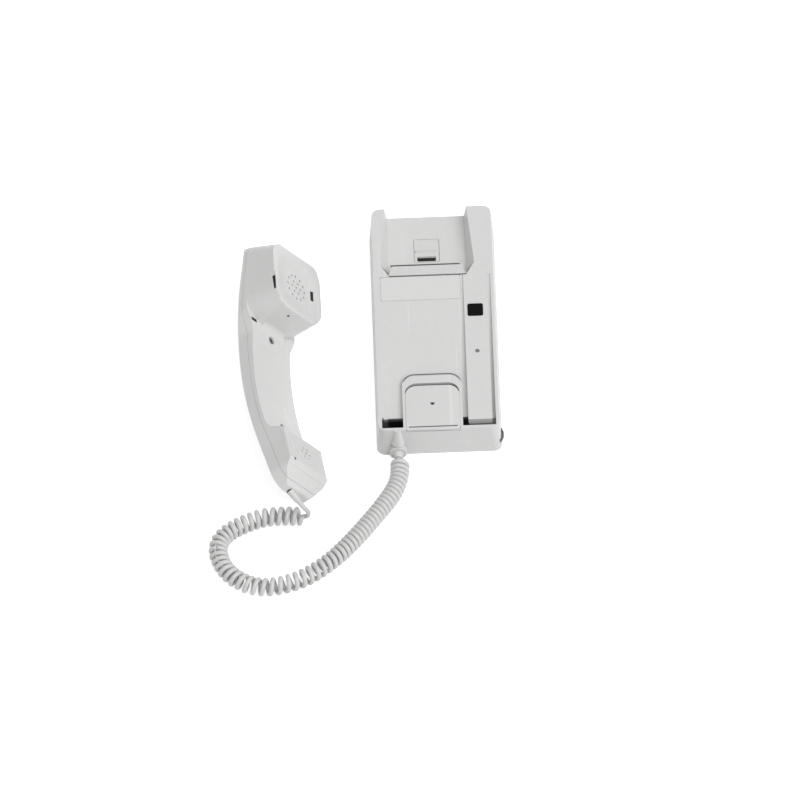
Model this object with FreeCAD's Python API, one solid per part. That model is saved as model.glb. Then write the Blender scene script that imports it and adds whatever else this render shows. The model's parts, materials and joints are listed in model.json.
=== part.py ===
"""Slimline wall phone: a cradle base lying on its back, its handset beside it, and the curly cord.

Millimetres.  +X is the base's right, +Y its top end, +Z out of its front.  The origin is the
centre of the flat back face.  The handset lies rolled on its side on the same surface.
"""
import FreeCAD, Part
import math
import os

V = FreeCAD.Vector
X_AXIS, Y_AXIS, Z_AXIS = V(1, 0, 0), V(0, 1, 0), V(0, 0, 1)

# ---------------------------------------------------------------- driving dimensions
# Base housing
base_length = 194.8          # along Y
base_back_width = 87.6       # at the wall face
base_front_width = 84.0      # at the front face, less by the mould draft
base_depth = 28.0            # wall face to front face
wall = 2.2                   # moulded wall of the housing
corner_r = 6.0               # corners of the housing seen from the front
fit = 0.3                    # gap all round a plate or lid that drops into place
slip = 0.05                  # radial clearance of a screw or fixed pin in its hole
running = 0.08               # radial clearance of a turning or sliding fit
seat_gap = 0.2               # a soft or curved piece above its seat

# Ear pocket at the top end, and the tongue that the handset hooks over
seat_x = -4.0                # centreline of the handset's seat
pocket_floor_z = 17.0
pocket_floor_half = 26.9
pocket_rim_half_top = 28.6
pocket_rim_half_ledge = 33.0
ledge_y = 47.8
tongue_length = 10.2
tongue_half_top = 24.7
tongue_half_root = 27.3
tongue_drop = 2.2            # how far the tongue's tip lies below the front face
crease = 0.8                 # width of the moulded line at the tongue's root

# Front panel, sunk a little at the top and more towards the bottom
panel_left = -38.2
panel_right = 39.8
panel_top_sink = 0.8
panel_bottom_sink = 5.0

# Trough across the bottom, behind the end wall
trough_length = 9.3
trough_floor_z = 14.0
trough_left = -39.6
trough_right = 39.9

# Raised strip with the button and the lamp
strip_left = 20.7
strip_right = 37.4
strip_overhang = 4.2         # how far it runs out over the trough

# Call button
button_width = 10.5
button_corner = 1.2
button_x = 28.4
button_y = 5.7
button_proud = 0.5
button_gap = 0.25
button_travel = 2.5
button_ear = 1.8             # the ears that stop it under the strip
button_ear_thick = 1.2
button_stem_r = 1.8

# Indicator lamp and light pipe
lamp_x = 28.8
lamp_y = -30.4
pipe_r = 1.5
pipe_flange_r = 2.6
pipe_flange_thick = 1.0
pipe_proud = 0.4
lamp_r = 1.5
lamp_height = 4.2

# Label plate, blank
label_width = 56.0
label_height = 20.4
label_x = -9.3
label_y = 27.2
label_sink = 0.25
label_thick = 0.5

# Hook paddle and its frame
paddle_width = 37.0
paddle_length = 38.6
paddle_thick = 1.8
paddle_top_z = 27.4
frame_top_z = 27.0
paddle_corner = 8.0
paddle_side_gap = 0.45
paddle_foot_inset = 0.3
paddle_foot_gap = 0.5
paddle_head_gap = 2.2
paddle_skirt = 3.0
frame_rail = 1.9             # raised rail beside the paddle
frame_head = 8.0             # raised band above the paddle
frame_corner = 9.0
paddle_dot_r = 1.1
pin_r = 1.5
pin_z = 19.0
pin_from_foot = 6.6          # pin's distance up from the paddle's lower edge
lug_thick = 4.0
lug_r = 3.2
paddle_press = 5.0           # degrees the paddle turns when the handset is hung up

# Hang tab in the pocket floor
tab_width = 17.4
tab_length = 20.0
tab_y = 67.6
tab_thick = 1.6
tab_lip_y = 66.2
tab_lip_height = 1.1
tab_lip_thick = 1.4
tab_slot_width = 13.2
tab_slot_height = 4.2
tab_slot_y = 60.3

# Back plate and its wall mounting
plate_thick = 2.2
gang_spacing = 83.3          # screw spacing of a single wall box
mount_slot_width = 4.6
mount_slot_length = 10.0
wire_hole_r = 8.0
wire_hole_x = -18.0
wire_hole_y = 14.0

# Housing screws and posts
screw_r = 1.45
screw_head_r = 2.9
screw_head_thick = 1.2
screw_length = 9.0
post_r = 3.2
post_places = [(-31.0, 84.0), (24.0, 84.0), (-31.0, -74.0), (29.5, -74.0)]

# Circuit board
board_thick = 1.6
board_z = 6.4                # underside
board_left = -35.0
board_right = 35.4
board_bottom = -68.5
board_top = 40.0
board_screw_r = 1.2
board_screw_head_r = 2.4
board_screw_head_thick = 1.3
board_post_r = 3.0
board_screw_places = [(-31.5, 36.5), (32.0, 36.5), (-31.5, -50.0), (32.0, -50.0)]

# Switch under the button
button_switch_side = 12.0
button_switch_height = 6.2

# Hook switch
hook_switch_size = (20.0, 9.0, 8.0)
hook_arm = 27.0              # switch plunger's distance from the paddle's pin
plunger_r = 1.6
plunger_depth = 5.0
boss_r = 2.0
boss_drop = 2.6
spring_wire = 0.5
button_spring_r = 2.9
paddle_spring_r = 2.6
paddle_spring_arm = 22.6     # its distance from the paddle's pin
paddle_spring_x = -17.9

# Sounder, terminal block and board components
sounder_r = 11.0
sounder_height = 6.0
sounder_x = 8.0
sounder_y = 20.0
block_size = (24.0, 9.0, 8.4)
block_x = -18.0
block_y = -34.0
block_ways = 4
block_screw_r = 1.7
block_screw_rise = 0.4

# Volume thumbwheel, its slot in the right side near the bottom
wheel_r = 6.6
wheel_thick = 4.0
wheel_z = 5.4                # underside
wheel_from_foot = 8.4        # its centre's distance from the bottom end
wheel_out = 1.6              # how far it stands out of the side
wheel_notches = 16
wheel_gap = 0.5
axle_r = 1.6
control_r = 2.8

# Curly cord
cord_r = 1.6                 # the wire itself
coil_r = 6.8                 # outside of its coils
cord_x = -29.0               # where it leaves the base
cord_z = 6.5
collar_r = 6.1
collar_length = 4.6
boot_length = 8.4
boot_tip_r = 2.6
boot_neck_r = 3.9
boot_flange_r = 5.1
boot_flange_thick = 1.5
fairing_top_r = 2.2
fairing_foot_r = 4.6

# Handset, in its own frame: +Y from mouth to ear, +Z out of the ear and mouth faces
ear_face_length = 51.0
ear_half_width = 26.9
ear_face_rise = 4.4          # the ear face tilts up by this towards its top
ear_end_lean = 0.44          # how much longer the ear end grows with each millimetre of depth
ear_corner_r = 13.0          # rounding of its end's corners, seen from the front
ear_heel_r = 15.5            # the same at the corners that face the mouth
handle_ear_half_width = 20.8
handle_mouth_half_width = 22.8
mouth_half_width = 20.6
tail_end = -144.8            # the rounded end at the middle
shell_wall = 2.0
back_round = 11.0            # rounding of the back's long edges
seam_gap = 0.2
seam_lift = 9.5              # shells part this far above the back
cap_thick = 3.2
cap_gap = 0.2
dish_r = 22.6
dish_depth = 1.7
dish_slope = 5.0
mouth_dish_r = 16.2
hole_r = 0.9
ear_centre_y = 23.5
mouth_centre_y = -115.8
receiver_r = 19.0
receiver_height = 11.0
mic_r = 9.0
mic_height = 6.5
contact_rise = 1.2
ring_thick = 0.8
ring_width = 3.0
weight_size = (24.0, 48.0, 5.0)
handset_screw_ys = [-8.0, -84.0]
handset_screw_head_r = 2.6
handset_boot_r = 2.5
handset_boot_tip_r = 2.15
handset_boot_in = 2.2
handset_boot_out = 7.3
handset_boot_x = -4.0        # where its axis crosses the rounded end
handset_boot_z = -25.5
handset_boot_swing = 47.0    # degrees that the soft boot is bent sideways by the cord's pull
handset_boot_lift = 8.0
lead_r = 0.5
lead_hole_r = 1.9            # where the leads enter the handset behind the boot
lead_depth = 1.5             # the leads run this far under the handle's wall
handle_lead_ys = [-96.0, -72.0, -48.0, -24.0]
lead_from_centre = 4.5
handset_post_r = 3.2
handset_screw_r = 1.2
handset_screw_length = 8.5

# How the handset lies
handset_roll = 53.0          # degrees that its faces tip towards the base
handset_yaw = 5.2            # degrees that it turns away from the base's long axis
handset_at = (-110.5, -5.2)  # where its near ear corner lies on the surface

# Route of the cord, chosen by hand: the tail from the base, the coils, the tail to the handset
coil_z = coil_r + 0.2        # its middle line lies this high
cord_start_y = -base_length / 2 - boot_length         # at the boot's tip
base_tail_route = [(cord_x, cord_start_y, cord_z), (cord_x, cord_start_y - 1.8, cord_z),
                   (-28.15, cord_start_y - 4.2, coil_z), (-28.15, cord_start_y - 6.2, coil_z)]
coil_route = [(x, y, coil_z) for x, y in [
    (-28.15, cord_start_y - 6.2), (-28.15, -121.5), (-33.5, -136.5), (-47.0, -155.5), (-62.0, -175.5),
    (-80.0, -195.0), (-102.0, -210.0), (-128.0, -215.0), (-148.5, -203.5), (-157.5, -184.5), (-154.5, -168.5),
    (-138.0, -157.8), (-118.0, -151.3), (-99.0, -153.5)]]
handset_tail_route = [(-99.0, -153.5, coil_z), (-94.2, -154.056, coil_z), (-92.6, -155.4, 13.0),
                      (-93.6, -157.6, 19.0), (-96.48, -157.66, 23.99), (-99.49, -154.57, 26.445)]


# ---------------------------------------------------------------- helpers
def rounded_edges(points, radii, closed=True):
    """Straight runs through the points, joined by tangent arcs of the given radii."""
    count = len(points)
    starts, ends, arcs = [], [], []
    for i, p in enumerate(points):
        if not closed and i in (0, count - 1) or radii[i] == 0:
            starts.append(p)
            ends.append(p)
            arcs.append(None)
            continue
        back = (points[i - 1] - p).normalize()
        ahead = (points[(i + 1) % count] - p).normalize()
        half = back.getAngle(ahead) / 2
        reach = radii[i] / math.tan(half)
        middle = (back + ahead).normalize()
        starts.append(p + back * reach)
        ends.append(p + ahead * reach)
        arcs.append(p + middle * (radii[i] / math.sin(half) - radii[i]))
    edges = []
    for i in range(count):
        if arcs[i]:
            edges.append(Part.Arc(starts[i], arcs[i], ends[i]).toShape())
        nxt = (i + 1) % count
        if (closed or i < count - 1) and (starts[nxt] - ends[i]).Length > 1e-6:
            edges.append(Part.LineSegment(ends[i], starts[nxt]).toShape())
    return edges


def outline(points, radii=0.0, closed=True):
    if not isinstance(radii, (list, tuple)):
        radii = [radii] * len(points)
    return Part.Wire(rounded_edges([V(*p) for p in points], radii, closed))


def prism(points, along, radii=0.0):
    """A flat outline drawn out along a vector."""
    return Part.Face(outline(points, radii)).extrude(V(*along))


def box(x0, x1, y0, y1, z0, z1):
    return Part.makeBox(x1 - x0, y1 - y0, z1 - z0, V(x0, y0, z0))


def rod(r, a, b):
    """A round bar from a to b."""
    a, b = V(*a), V(*b)
    return Part.makeCylinder(r, (b - a).Length, a, b - a)


def rect_wire(width, length, z, radius, grow=0.0):
    hx, hy = width / 2 + grow, length / 2 + grow
    points = [(-hx, -hy, z), (hx, -hy, z), (hx, hy, z), (-hx, hy, z)]
    return outline(points, radius + grow)


def drafted_block(z0, z1, grow=0.0):
    """The housing's outside, or that shape grown or shrunk, between two heights."""
    def width_at(z):
        return base_back_width + (base_front_width - base_back_width) * z / base_depth
    wires = [rect_wire(width_at(z), base_length, z, corner_r, grow) for z in (z0, z1)]
    return Part.makeLoft(wires, True, True)


def tube_along(points, radius, limp=0.45, label=""):
    """A round tube along straight runs joined by the largest tangent arcs that fit."""
    points = [V(*p) for p in points]
    radii = [0.0] * len(points)
    for i in range(1, len(points) - 1):
        back, ahead = points[i] - points[i - 1], points[i + 1] - points[i]
        turn = back.getAngle(ahead)
        radii[i] = limp * min(back.Length, ahead.Length) / math.tan(turn / 2)
    path = Part.Wire(rounded_edges(points, radii, closed=False))
    start = (points[1] - points[0]).normalize()
    ring = Part.Wire(Part.makeCircle(radius, points[0], start))
    tube = path.makePipeShell([ring], True, False)
    if label:
        bends = ", ".join(f"{r:.0f}" for r in radii[1:-1])
        expected = math.pi * radius ** 2 * path.Length
        print(f"{label}: length {path.Length:.1f}, bend radii {bends}, volume {tube.Volume:.0f} of {expected:.0f}")
    return tube


def spring(radius, wire, height, turns, base):
    """A compression spring standing on base: its wire runs in short steps joined by arcs."""
    steps = 8
    rise = height - wire
    points = []
    for i in range(turns * steps + 1):
        turn = 2 * math.pi * i / steps
        points.append(V(*base) + V(radius * math.cos(turn), radius * math.sin(turn),
                                   wire / 2 + rise * i / (turns * steps)))
    return tube_along(points, wire / 2)


def fuse(*shapes):
    shape = shapes[0].fuse(list(shapes[1:]))
    return shape.removeSplitter()


def screw(place, head_r, head_thick, shank_r, length, up):
    """A pan screw with a cross slot; up is the way its head faces, and place is under its head."""
    place, up = V(*place), V(*up)
    head = Part.makeCylinder(head_r, head_thick, place, up)
    head = head.makeFillet(head_thick * 0.4, [e for e in head.Edges if e.BoundBox.Center.sub(
        place + up * head_thick).Length < 1e-3 and e.Length > head_r * 5])
    shank = Part.makeCylinder(shank_r, length, place, -up)
    shape = head.fuse(shank)
    slot_long, slot_wide, slot_deep = head_r * 1.2, head_r * 0.24, head_thick * 0.55
    side = up.cross(X_AXIS if abs(up.x) < 0.9 else Y_AXIS).normalize()
    other = up.cross(side)
    for long_way, wide_way in ((side, other), (other, side)):
        corner = place + up * (head_thick - slot_deep) - long_way * slot_long / 2 - wide_way * slot_wide / 2
        face = Part.Face(Part.makePolygon([corner, corner + long_way * slot_long,
                                           corner + long_way * slot_long + wide_way * slot_wide,
                                           corner + wide_way * slot_wide, corner]))
        shape = shape.cut(face.extrude(up * head_thick))
    return shape


# ---------------------------------------------------------------- places worked out from the sizes
base_top = base_length / 2
base_bottom = -base_length / 2
wheel_y = base_bottom + wheel_from_foot
above = base_depth + 2.0                       # clear of the front face, for cuts from the front
trough_low = base_bottom + wall
trough_high = trough_low + trough_length
tongue_root = ledge_y - tongue_length
panel_top = tongue_root - crease
strip_foot = trough_high - strip_overhang
paddle_low = base_bottom + paddle_foot_inset
paddle_high = paddle_low + paddle_length
paddle_under_z = paddle_top_z - paddle_thick
window_half = paddle_width / 2 + paddle_side_gap
window_high = paddle_high + paddle_head_gap
frame_half = window_half + frame_rail
frame_high = window_high + frame_head
pin_y = paddle_low + pin_from_foot
paddle_spring_y = pin_y + paddle_spring_arm
pin_half = frame_half - 0.6                    # the pin's far end stops inside the right rail
board_top_z = board_z + board_thick
panel_slope = (panel_bottom_sink - panel_top_sink) / (panel_top - trough_high)


def panel_z(y):
    """Height of the sunk panel at a place along the base."""
    return base_depth - panel_top_sink - panel_slope * (panel_top - y)


# ---------------------------------------------------------------- base housing
def pocket_cut(grow):
    """Ear pocket: flat floor, sloping sides that open out towards the ledge."""
    def section(y, rim_half):
        lean = (rim_half - pocket_floor_half) / (base_depth - pocket_floor_z)
        top_half = pocket_floor_half + lean * (above - pocket_floor_z) + grow
        low_half = pocket_floor_half + grow
        floor = pocket_floor_z - grow
        return outline([(seat_x - low_half, y, floor), (seat_x + low_half, y, floor),
                        (seat_x + top_half, y, above), (seat_x - top_half, y, above)])
    wires = [section(base_top + wall + 1, pocket_rim_half_top), section(ledge_y - grow, pocket_rim_half_ledge)]
    return Part.makeLoft(wires, True, True)


def scoop_cut(side, grow):
    """The hollow that runs down beside the tongue on one side of the seat."""
    outer = seat_x + side * (pocket_rim_half_ledge + grow)
    inner = seat_x + side * (tongue_half_top - grow)
    tip = seat_x + side * tongue_half_root
    plan = prism([(outer, ledge_y + 0.5, pocket_floor_z - grow), (tip, tongue_root - grow, pocket_floor_z - grow),
                  (inner, ledge_y + 0.5, pocket_floor_z - grow)], (0, 0, base_depth))
    slope = prism([(-base_back_width, ledge_y + 0.5, pocket_floor_z - grow),
                   (-base_back_width, tongue_root - grow, base_depth - grow),
                   (-base_back_width, tongue_root - grow, above + 1),
                   (-base_back_width, ledge_y + 0.5, above + 1)], (2 * base_back_width, 0, 0))
    return plan.common(slope)


def tongue_cut():
    """Takes the tongue's top down to a slope, and marks its root with a crease."""
    x0, x1 = seat_x - pocket_rim_half_ledge, seat_x + pocket_rim_half_ledge
    slope = prism([(x0, tongue_root, base_depth), (x0, tongue_root, above), (x0, ledge_y + 1, above),
                   (x0, ledge_y + 1, base_depth - tongue_drop)], (x1 - x0, 0, 0))
    line = box(seat_x - tongue_half_root, seat_x + tongue_half_root, tongue_root - crease / 2,
               tongue_root + crease / 2, base_depth - crease, above)
    reach = prism([(seat_x - tongue_half_root, tongue_root - crease, 0), (seat_x + tongue_half_root,
                   tongue_root - crease, 0), (seat_x + tongue_half_top, ledge_y + 1, 0),
                   (seat_x - tongue_half_top, ledge_y + 1, 0)], (0, 0, above))
    return slope.fuse(line).common(reach)


def panel_cut(grow):
    """The sunk panel, less the raised strip and the paddle's frame."""
    x0, x1 = panel_left - grow, panel_right + grow
    low_y = trough_high - 0.5
    cut = prism([(x0, panel_top, panel_z(panel_top) - grow), (x0, low_y, panel_z(low_y) - grow),
                 (x0, low_y, above), (x0, panel_top, above)], (x1 - x0, 0, 0))
    strip = box(strip_left + grow, strip_right - grow, strip_foot + grow, panel_top + 1, 0, above + 1)
    frame_z = frame_top_z - grow
    frame = prism([(seat_x - frame_half + grow, trough_low, 0), (seat_x + frame_half - grow, trough_low, 0),
                   (seat_x + frame_half - grow, frame_high - grow, 0),
                   (seat_x - frame_half + grow, frame_high - grow, 0)], (0, 0, frame_z),
                  [0, 0, frame_corner - grow, frame_corner - grow])
    return cut.cut(strip).cut(frame)


def trough_cut(grow):
    """The deep slot behind the bottom end wall, crossed by the strip's end and the frame's two rails."""
    cut = box(trough_left - grow, trough_right + grow, trough_low - grow, trough_high + grow,
              trough_floor_z - grow, above)
    if grow:
        return cut
    strip = box(strip_left, strip_right, strip_foot, trough_high + 1, base_depth - panel_bottom_sink, above)
    cut = cut.cut(strip)
    for side in (-1, 1):
        inner, outer = seat_x + side * window_half, seat_x + side * frame_half
        rail = box(min(inner, outer), max(inner, outer), trough_low - 1, trough_high + 1, 0, frame_top_z)
        cut = cut.cut(rail)
    return cut


def paddle_window():
    return prism([(seat_x - window_half, trough_low, trough_floor_z), (seat_x + window_half, trough_low,
                  trough_floor_z), (seat_x + window_half, window_high, trough_floor_z),
                  (seat_x - window_half, window_high, trough_floor_z)], (0, 0, base_depth),
                 [0, 0, paddle_corner, paddle_corner])


def paddle_foot_notch():
    """Lets the paddle's foot come out over the end wall."""
    return box(seat_x - window_half, seat_x + window_half, base_bottom - 1, trough_low + 1,
               paddle_under_z - paddle_foot_gap, above)


def front_cuts(grow):
    cuts = [pocket_cut(grow), panel_cut(grow), trough_cut(grow)]
    cuts += [scoop_cut(side, grow) for side in (-1, 1)]
    return cuts


def square_hole(x, y, side, corner, z0, z1):
    h = side / 2
    return prism([(x - h, y - h, z0), (x + h, y - h, z0), (x + h, y + h, z0), (x - h, y + h, z0)],
                 (0, 0, z1 - z0), corner)


def wheel_centre_x():
    side_x = base_back_width / 2 + (base_front_width - base_back_width) / 2 * wheel_z / base_depth
    return side_x + wheel_out - wheel_r


def make_front_housing():
    outside = drafted_block(0, base_depth)
    shell = outside.cut(front_cuts(0.0))
    posts = [rod(post_r, (x, y, plate_thick), (x, y, base_depth)) for x, y in post_places]
    posts = [post.common(shell) for post in posts]
    cavity = drafted_block(-1, base_depth - wall, -wall).cut(front_cuts(wall))
    shell = shell.cut(cavity)
    shell = shell.cut([tongue_cut(), paddle_window(), paddle_foot_notch()])
    shell = shell.fuse(posts)
    # the fairing above the cord, on the outside of the end wall
    fairing_z = cord_z + collar_r + 0.6
    fairing = Part.makeCone(fairing_foot_r, fairing_top_r, base_depth - 0.4 - fairing_z,
                            V(cord_x, base_bottom + 0.6, fairing_z))
    shell = shell.fuse(fairing.common(box(cord_x - 9, cord_x + 9, base_bottom - 9, base_bottom + wall / 2,
                                          0, base_depth)))
    # holes
    cuts = [rod(screw_r + slip, (x, y, 0), (x, y, plate_thick + screw_length)) for x, y in post_places]
    cuts.append(square_hole(button_x, button_y, button_width + 2 * button_gap, button_corner + button_gap, 12, above))
    cuts.append(rod(pipe_r + slip, (lamp_x, lamp_y, 12), (lamp_x, lamp_y, above)))
    cuts.append(rod(boot_neck_r + slip, (cord_x, base_bottom - 1, cord_z), (cord_x, trough_low + 1, cord_z)))
    cuts.append(rod(pin_r + slip, (seat_x - frame_half - 1, pin_y, pin_z), (seat_x + pin_half, pin_y, pin_z)))
    wheel_x = wheel_centre_x()
    cuts.append(Part.makeCylinder(wheel_r + wheel_gap, wheel_thick + 2 * wheel_gap,
                                  V(wheel_x, wheel_y, wheel_z - wheel_gap)))
    label_slope = math.degrees(math.atan(panel_slope))
    label = box(-label_width / 2, label_width / 2, -label_height / 2, label_height / 2, -label_sink, 3)
    label.rotate(V(0, 0, 0), X_AXIS, label_slope)
    label.translate(V(label_x, label_y, panel_z(label_y)))
    cuts.append(label)
    tab = prism([(seat_x - tab_width / 2 - fit, tab_y - tab_length / 2 - fit, pocket_floor_z - tab_thick),
                 (seat_x + tab_width / 2 + fit, tab_y - tab_length / 2 - fit, pocket_floor_z - tab_thick),
                 (seat_x + tab_width / 2 + fit, tab_y + tab_length / 2 + fit, pocket_floor_z - tab_thick),
                 (seat_x - tab_width / 2 - fit, tab_y + tab_length / 2 + fit, pocket_floor_z - tab_thick)],
                (0, 0, tab_thick + 5), 1.5)
    cuts.append(tab)
    return shell.cut(cuts).removeSplitter()


def make_back_plate():
    plate = drafted_block(0, plate_thick, -wall - fit)
    for x, y in board_screw_places:
        plate = plate.fuse(rod(board_post_r, (x, y, 0), (x, y, board_z)))
    cuts = []
    for y in (-gang_spacing / 2, gang_spacing / 2):
        half, r = mount_slot_length / 2, mount_slot_width / 2
        cuts.append(prism([(-r, y - half, -1), (r, y - half, -1), (r, y + half, -1), (-r, y + half, -1)],
                          (0, 0, plate_thick + 2), r * 0.999))
    cuts.append(rod(wire_hole_r, (wire_hole_x, wire_hole_y, -1), (wire_hole_x, wire_hole_y, plate_thick + 1)))
    for x, y in post_places:
        cuts.append(rod(screw_r + 0.2, (x, y, -1), (x, y, plate_thick + 1)))
        cuts.append(rod(screw_head_r + 0.2, (x, y, -1), (x, y, screw_head_thick)))
    for x, y in board_screw_places:
        cuts.append(rod(board_screw_r + slip, (x, y, plate_thick - 1), (x, y, board_z + 1)))
    flange_end = trough_low + seat_gap / 2 + boot_flange_thick + seat_gap
    cuts.append(rod(boot_flange_r + fit, (cord_x, base_bottom, cord_z), (cord_x, flange_end, cord_z)))
    return plate.cut(cuts).removeSplitter()


def make_housing_screws():
    return Part.makeCompound([screw((x, y, screw_head_thick), screw_head_r, screw_head_thick, screw_r,
                                    screw_length, (0, 0, -1)) for x, y in post_places])


# ---------------------------------------------------------------- pieces on the base
def make_hang_tab():
    """The hook that the handset hangs from on a wall, with its slot below the lip."""
    z0, z1 = pocket_floor_z - tab_thick, pocket_floor_z
    tab = prism([(seat_x - tab_width / 2, tab_y - tab_length / 2, z0), (seat_x + tab_width / 2, tab_y - tab_length / 2, z0),
                 (seat_x + tab_width / 2, tab_y + tab_length / 2, z0), (seat_x - tab_width / 2, tab_y + tab_length / 2, z0)],
                (0, 0, z1 - z0), 1.2)
    lip_half = tab_slot_width / 2 + 1
    lip = prism([(seat_x - lip_half, tab_lip_y - tab_lip_thick, z1 - 0.5), (seat_x - lip_half, tab_lip_y + tab_lip_thick,
                 z1 - 0.5), (seat_x - lip_half, tab_lip_y + tab_lip_thick, z1 + tab_lip_height * 0.4),
                 (seat_x - lip_half, tab_lip_y, z1 + tab_lip_height)], (2 * lip_half, 0, 0))
    slot = prism([(seat_x - tab_slot_width / 2, tab_slot_y - tab_slot_height / 2, z0 + 0.4),
                  (seat_x + tab_slot_width / 2, tab_slot_y - tab_slot_height / 2, z0 + 0.4),
                  (seat_x + tab_slot_width / 2, tab_slot_y + tab_slot_height / 2, z0 + 0.4),
                  (seat_x - tab_slot_width / 2, tab_slot_y + tab_slot_height / 2, z0 + 0.4)], (0, 0, 3), 0.8)
    return tab.fuse(lip).cut(slot).removeSplitter()


def make_label_plate():
    half_w, half_h = label_width / 2 - fit / 2, label_height / 2 - fit / 2
    plate = prism([(-half_w, -half_h, -label_sink), (half_w, -half_h, -label_sink), (half_w, half_h, -label_sink),
                   (-half_w, half_h, -label_sink)], (0, 0, label_thick), 1.0)
    plate.rotate(V(0, 0, 0), X_AXIS, math.degrees(math.atan(panel_slope)))
    plate.translate(V(label_x, label_y, panel_z(label_y)))
    return plate


def make_call_button():
    under_strip = base_depth - wall
    ear_top = under_strip - seat_gap / 2
    cap = square_hole(button_x, button_y, button_width, button_corner, ear_top - button_ear_thick,
                      base_depth + button_proud)
    rim = [e for e in cap.Edges if e.BoundBox.ZMin > base_depth]
    cap = cap.makeFillet(0.4, rim)
    ears = box(button_x - button_width / 2 + 1, button_x + button_width / 2 - 1,
               button_y - button_width / 2 - button_ear, button_y + button_width / 2 + button_ear,
               ear_top - button_ear_thick, ear_top)
    stem_end = board_top_z + button_switch_height - 2.0
    stem = rod(button_stem_r, (button_x, button_y, stem_end), (button_x, button_y, ear_top))
    return fuse(cap, ears, stem)


def button_under_z():
    return base_depth - wall - seat_gap / 2 - button_ear_thick


def make_button_switch():
    half = button_switch_side / 2
    body = box(button_x - half, button_x + half, button_y - half, button_y + half, board_top_z,
               board_top_z + button_switch_height)
    body = body.makeChamfer(0.6, [e for e in body.Edges if e.BoundBox.ZMin > board_top_z + 1])
    bore = rod(button_stem_r + running, (button_x, button_y, board_top_z + 1), (button_x, button_y, 30))
    return body.cut(bore)


def make_button_spring():
    low = board_top_z + button_switch_height
    return spring(button_spring_r, spring_wire, button_under_z() - low, 6, (button_x, button_y, low))


def make_light_pipe():
    low = board_top_z + lamp_height + seat_gap
    flange_top = base_depth - wall - seat_gap / 2
    pipe = rod(pipe_r, (lamp_x, lamp_y, low), (lamp_x, lamp_y, base_depth + pipe_proud))
    pipe = pipe.makeFillet(0.35, [e for e in pipe.Edges if e.BoundBox.ZMin > base_depth])
    return fuse(pipe, rod(pipe_flange_r, (lamp_x, lamp_y, flange_top - pipe_flange_thick), (lamp_x, lamp_y, flange_top)))


def make_indicator_lamp():
    body = rod(lamp_r, (lamp_x, lamp_y, board_top_z), (lamp_x, lamp_y, board_top_z + lamp_height))
    body = body.makeFillet(lamp_r * 0.7, [e for e in body.Edges if e.BoundBox.ZMin > board_top_z + 1])
    return fuse(body, rod(lamp_r + 0.4, (lamp_x, lamp_y, board_top_z), (lamp_x, lamp_y, board_top_z + 0.8)))


def make_hook_paddle():
    x0, x1 = seat_x - paddle_width / 2, seat_x + paddle_width / 2
    def plan(inset, z, height):
        return prism([(x0 + inset, paddle_low + inset, z), (x1 - inset, paddle_low + inset, z),
                      (x1 - inset, paddle_high - inset, z), (x0 + inset, paddle_high - inset, z)], (0, 0, height),
                     [0, 0, paddle_corner - inset, paddle_corner - inset])
    plate = plan(0, paddle_under_z, paddle_thick)
    plate = plate.makeFillet(0.5, [e for e in plate.Edges if e.BoundBox.ZMin > paddle_top_z - 0.01])
    skirt_z = paddle_under_z - paddle_skirt
    skirt = plan(0, skirt_z, paddle_skirt).cut(plan(1.4, skirt_z - 1, paddle_skirt + 2))
    skirt = skirt.cut(box(x0 - 1, x1 + 1, paddle_low - 1, trough_low + 0.8, skirt_z - 1, paddle_under_z))
    lugs = []
    for x in (x0, x1 - lug_thick):
        lugs.append(rod(lug_r, (x, pin_y, pin_z), (x + lug_thick, pin_y, pin_z)))
        lugs.append(box(x, x + lug_thick, pin_y - lug_r * 0.8, pin_y + lug_r, pin_z, paddle_under_z))
    boss = rod(boss_r, (seat_x, pin_y + hook_arm, paddle_under_z - boss_drop), (seat_x, pin_y + hook_arm, paddle_under_z))
    peg = rod(paddle_spring_r - spring_wire, (paddle_spring_x, paddle_spring_y, paddle_under_z - 2),
              (paddle_spring_x, paddle_spring_y, paddle_under_z))
    paddle = fuse(plate, skirt, boss, peg, *lugs)
    bore = rod(pin_r + running, (x0 - 1, pin_y, pin_z), (x1 + 1, pin_y, pin_z))
    dot = rod(paddle_dot_r, (seat_x, paddle_low + paddle_length * 0.58, paddle_under_z - 4),
              (seat_x, paddle_low + paddle_length * 0.58, above))
    return paddle.cut([bore, dot])


def make_paddle_pin():
    return rod(pin_r, (seat_x - frame_half + 0.2, pin_y, pin_z), (seat_x + pin_half - 0.1, pin_y, pin_z))


def make_paddle_spring():
    return spring(paddle_spring_r, spring_wire, paddle_under_z - board_top_z, 7,
                  (paddle_spring_x, paddle_spring_y, board_top_z))


def make_hook_switch():
    wide, deep, tall = hook_switch_size
    y = pin_y + hook_arm
    body = box(seat_x - wide / 2, seat_x + wide / 2, y - deep / 2, y + deep / 2, board_top_z, board_top_z + tall)
    body = body.makeChamfer(0.5, [e for e in body.Edges if e.BoundBox.ZMin > board_top_z + 1])
    holes = [rod(1.2, (seat_x + side * wide * 0.38, y - deep, board_top_z + tall / 2),
                 (seat_x + side * wide * 0.38, y + deep, board_top_z + tall / 2)) for side in (-1, 1)]
    bore = rod(plunger_r + running, (seat_x, y, board_top_z + 0.6), (seat_x, y, board_top_z + tall + 1))
    return body.cut(holes + [bore])


def make_hook_plunger():
    y = pin_y + hook_arm
    top = paddle_under_z - boss_drop - fit
    low = board_top_z + hook_switch_size[2] - plunger_depth
    plunger = rod(plunger_r, (seat_x, y, low), (seat_x, y, top))
    return plunger.makeFillet(0.4, [e for e in plunger.Edges if e.BoundBox.ZMin > top - 0.01])


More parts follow.
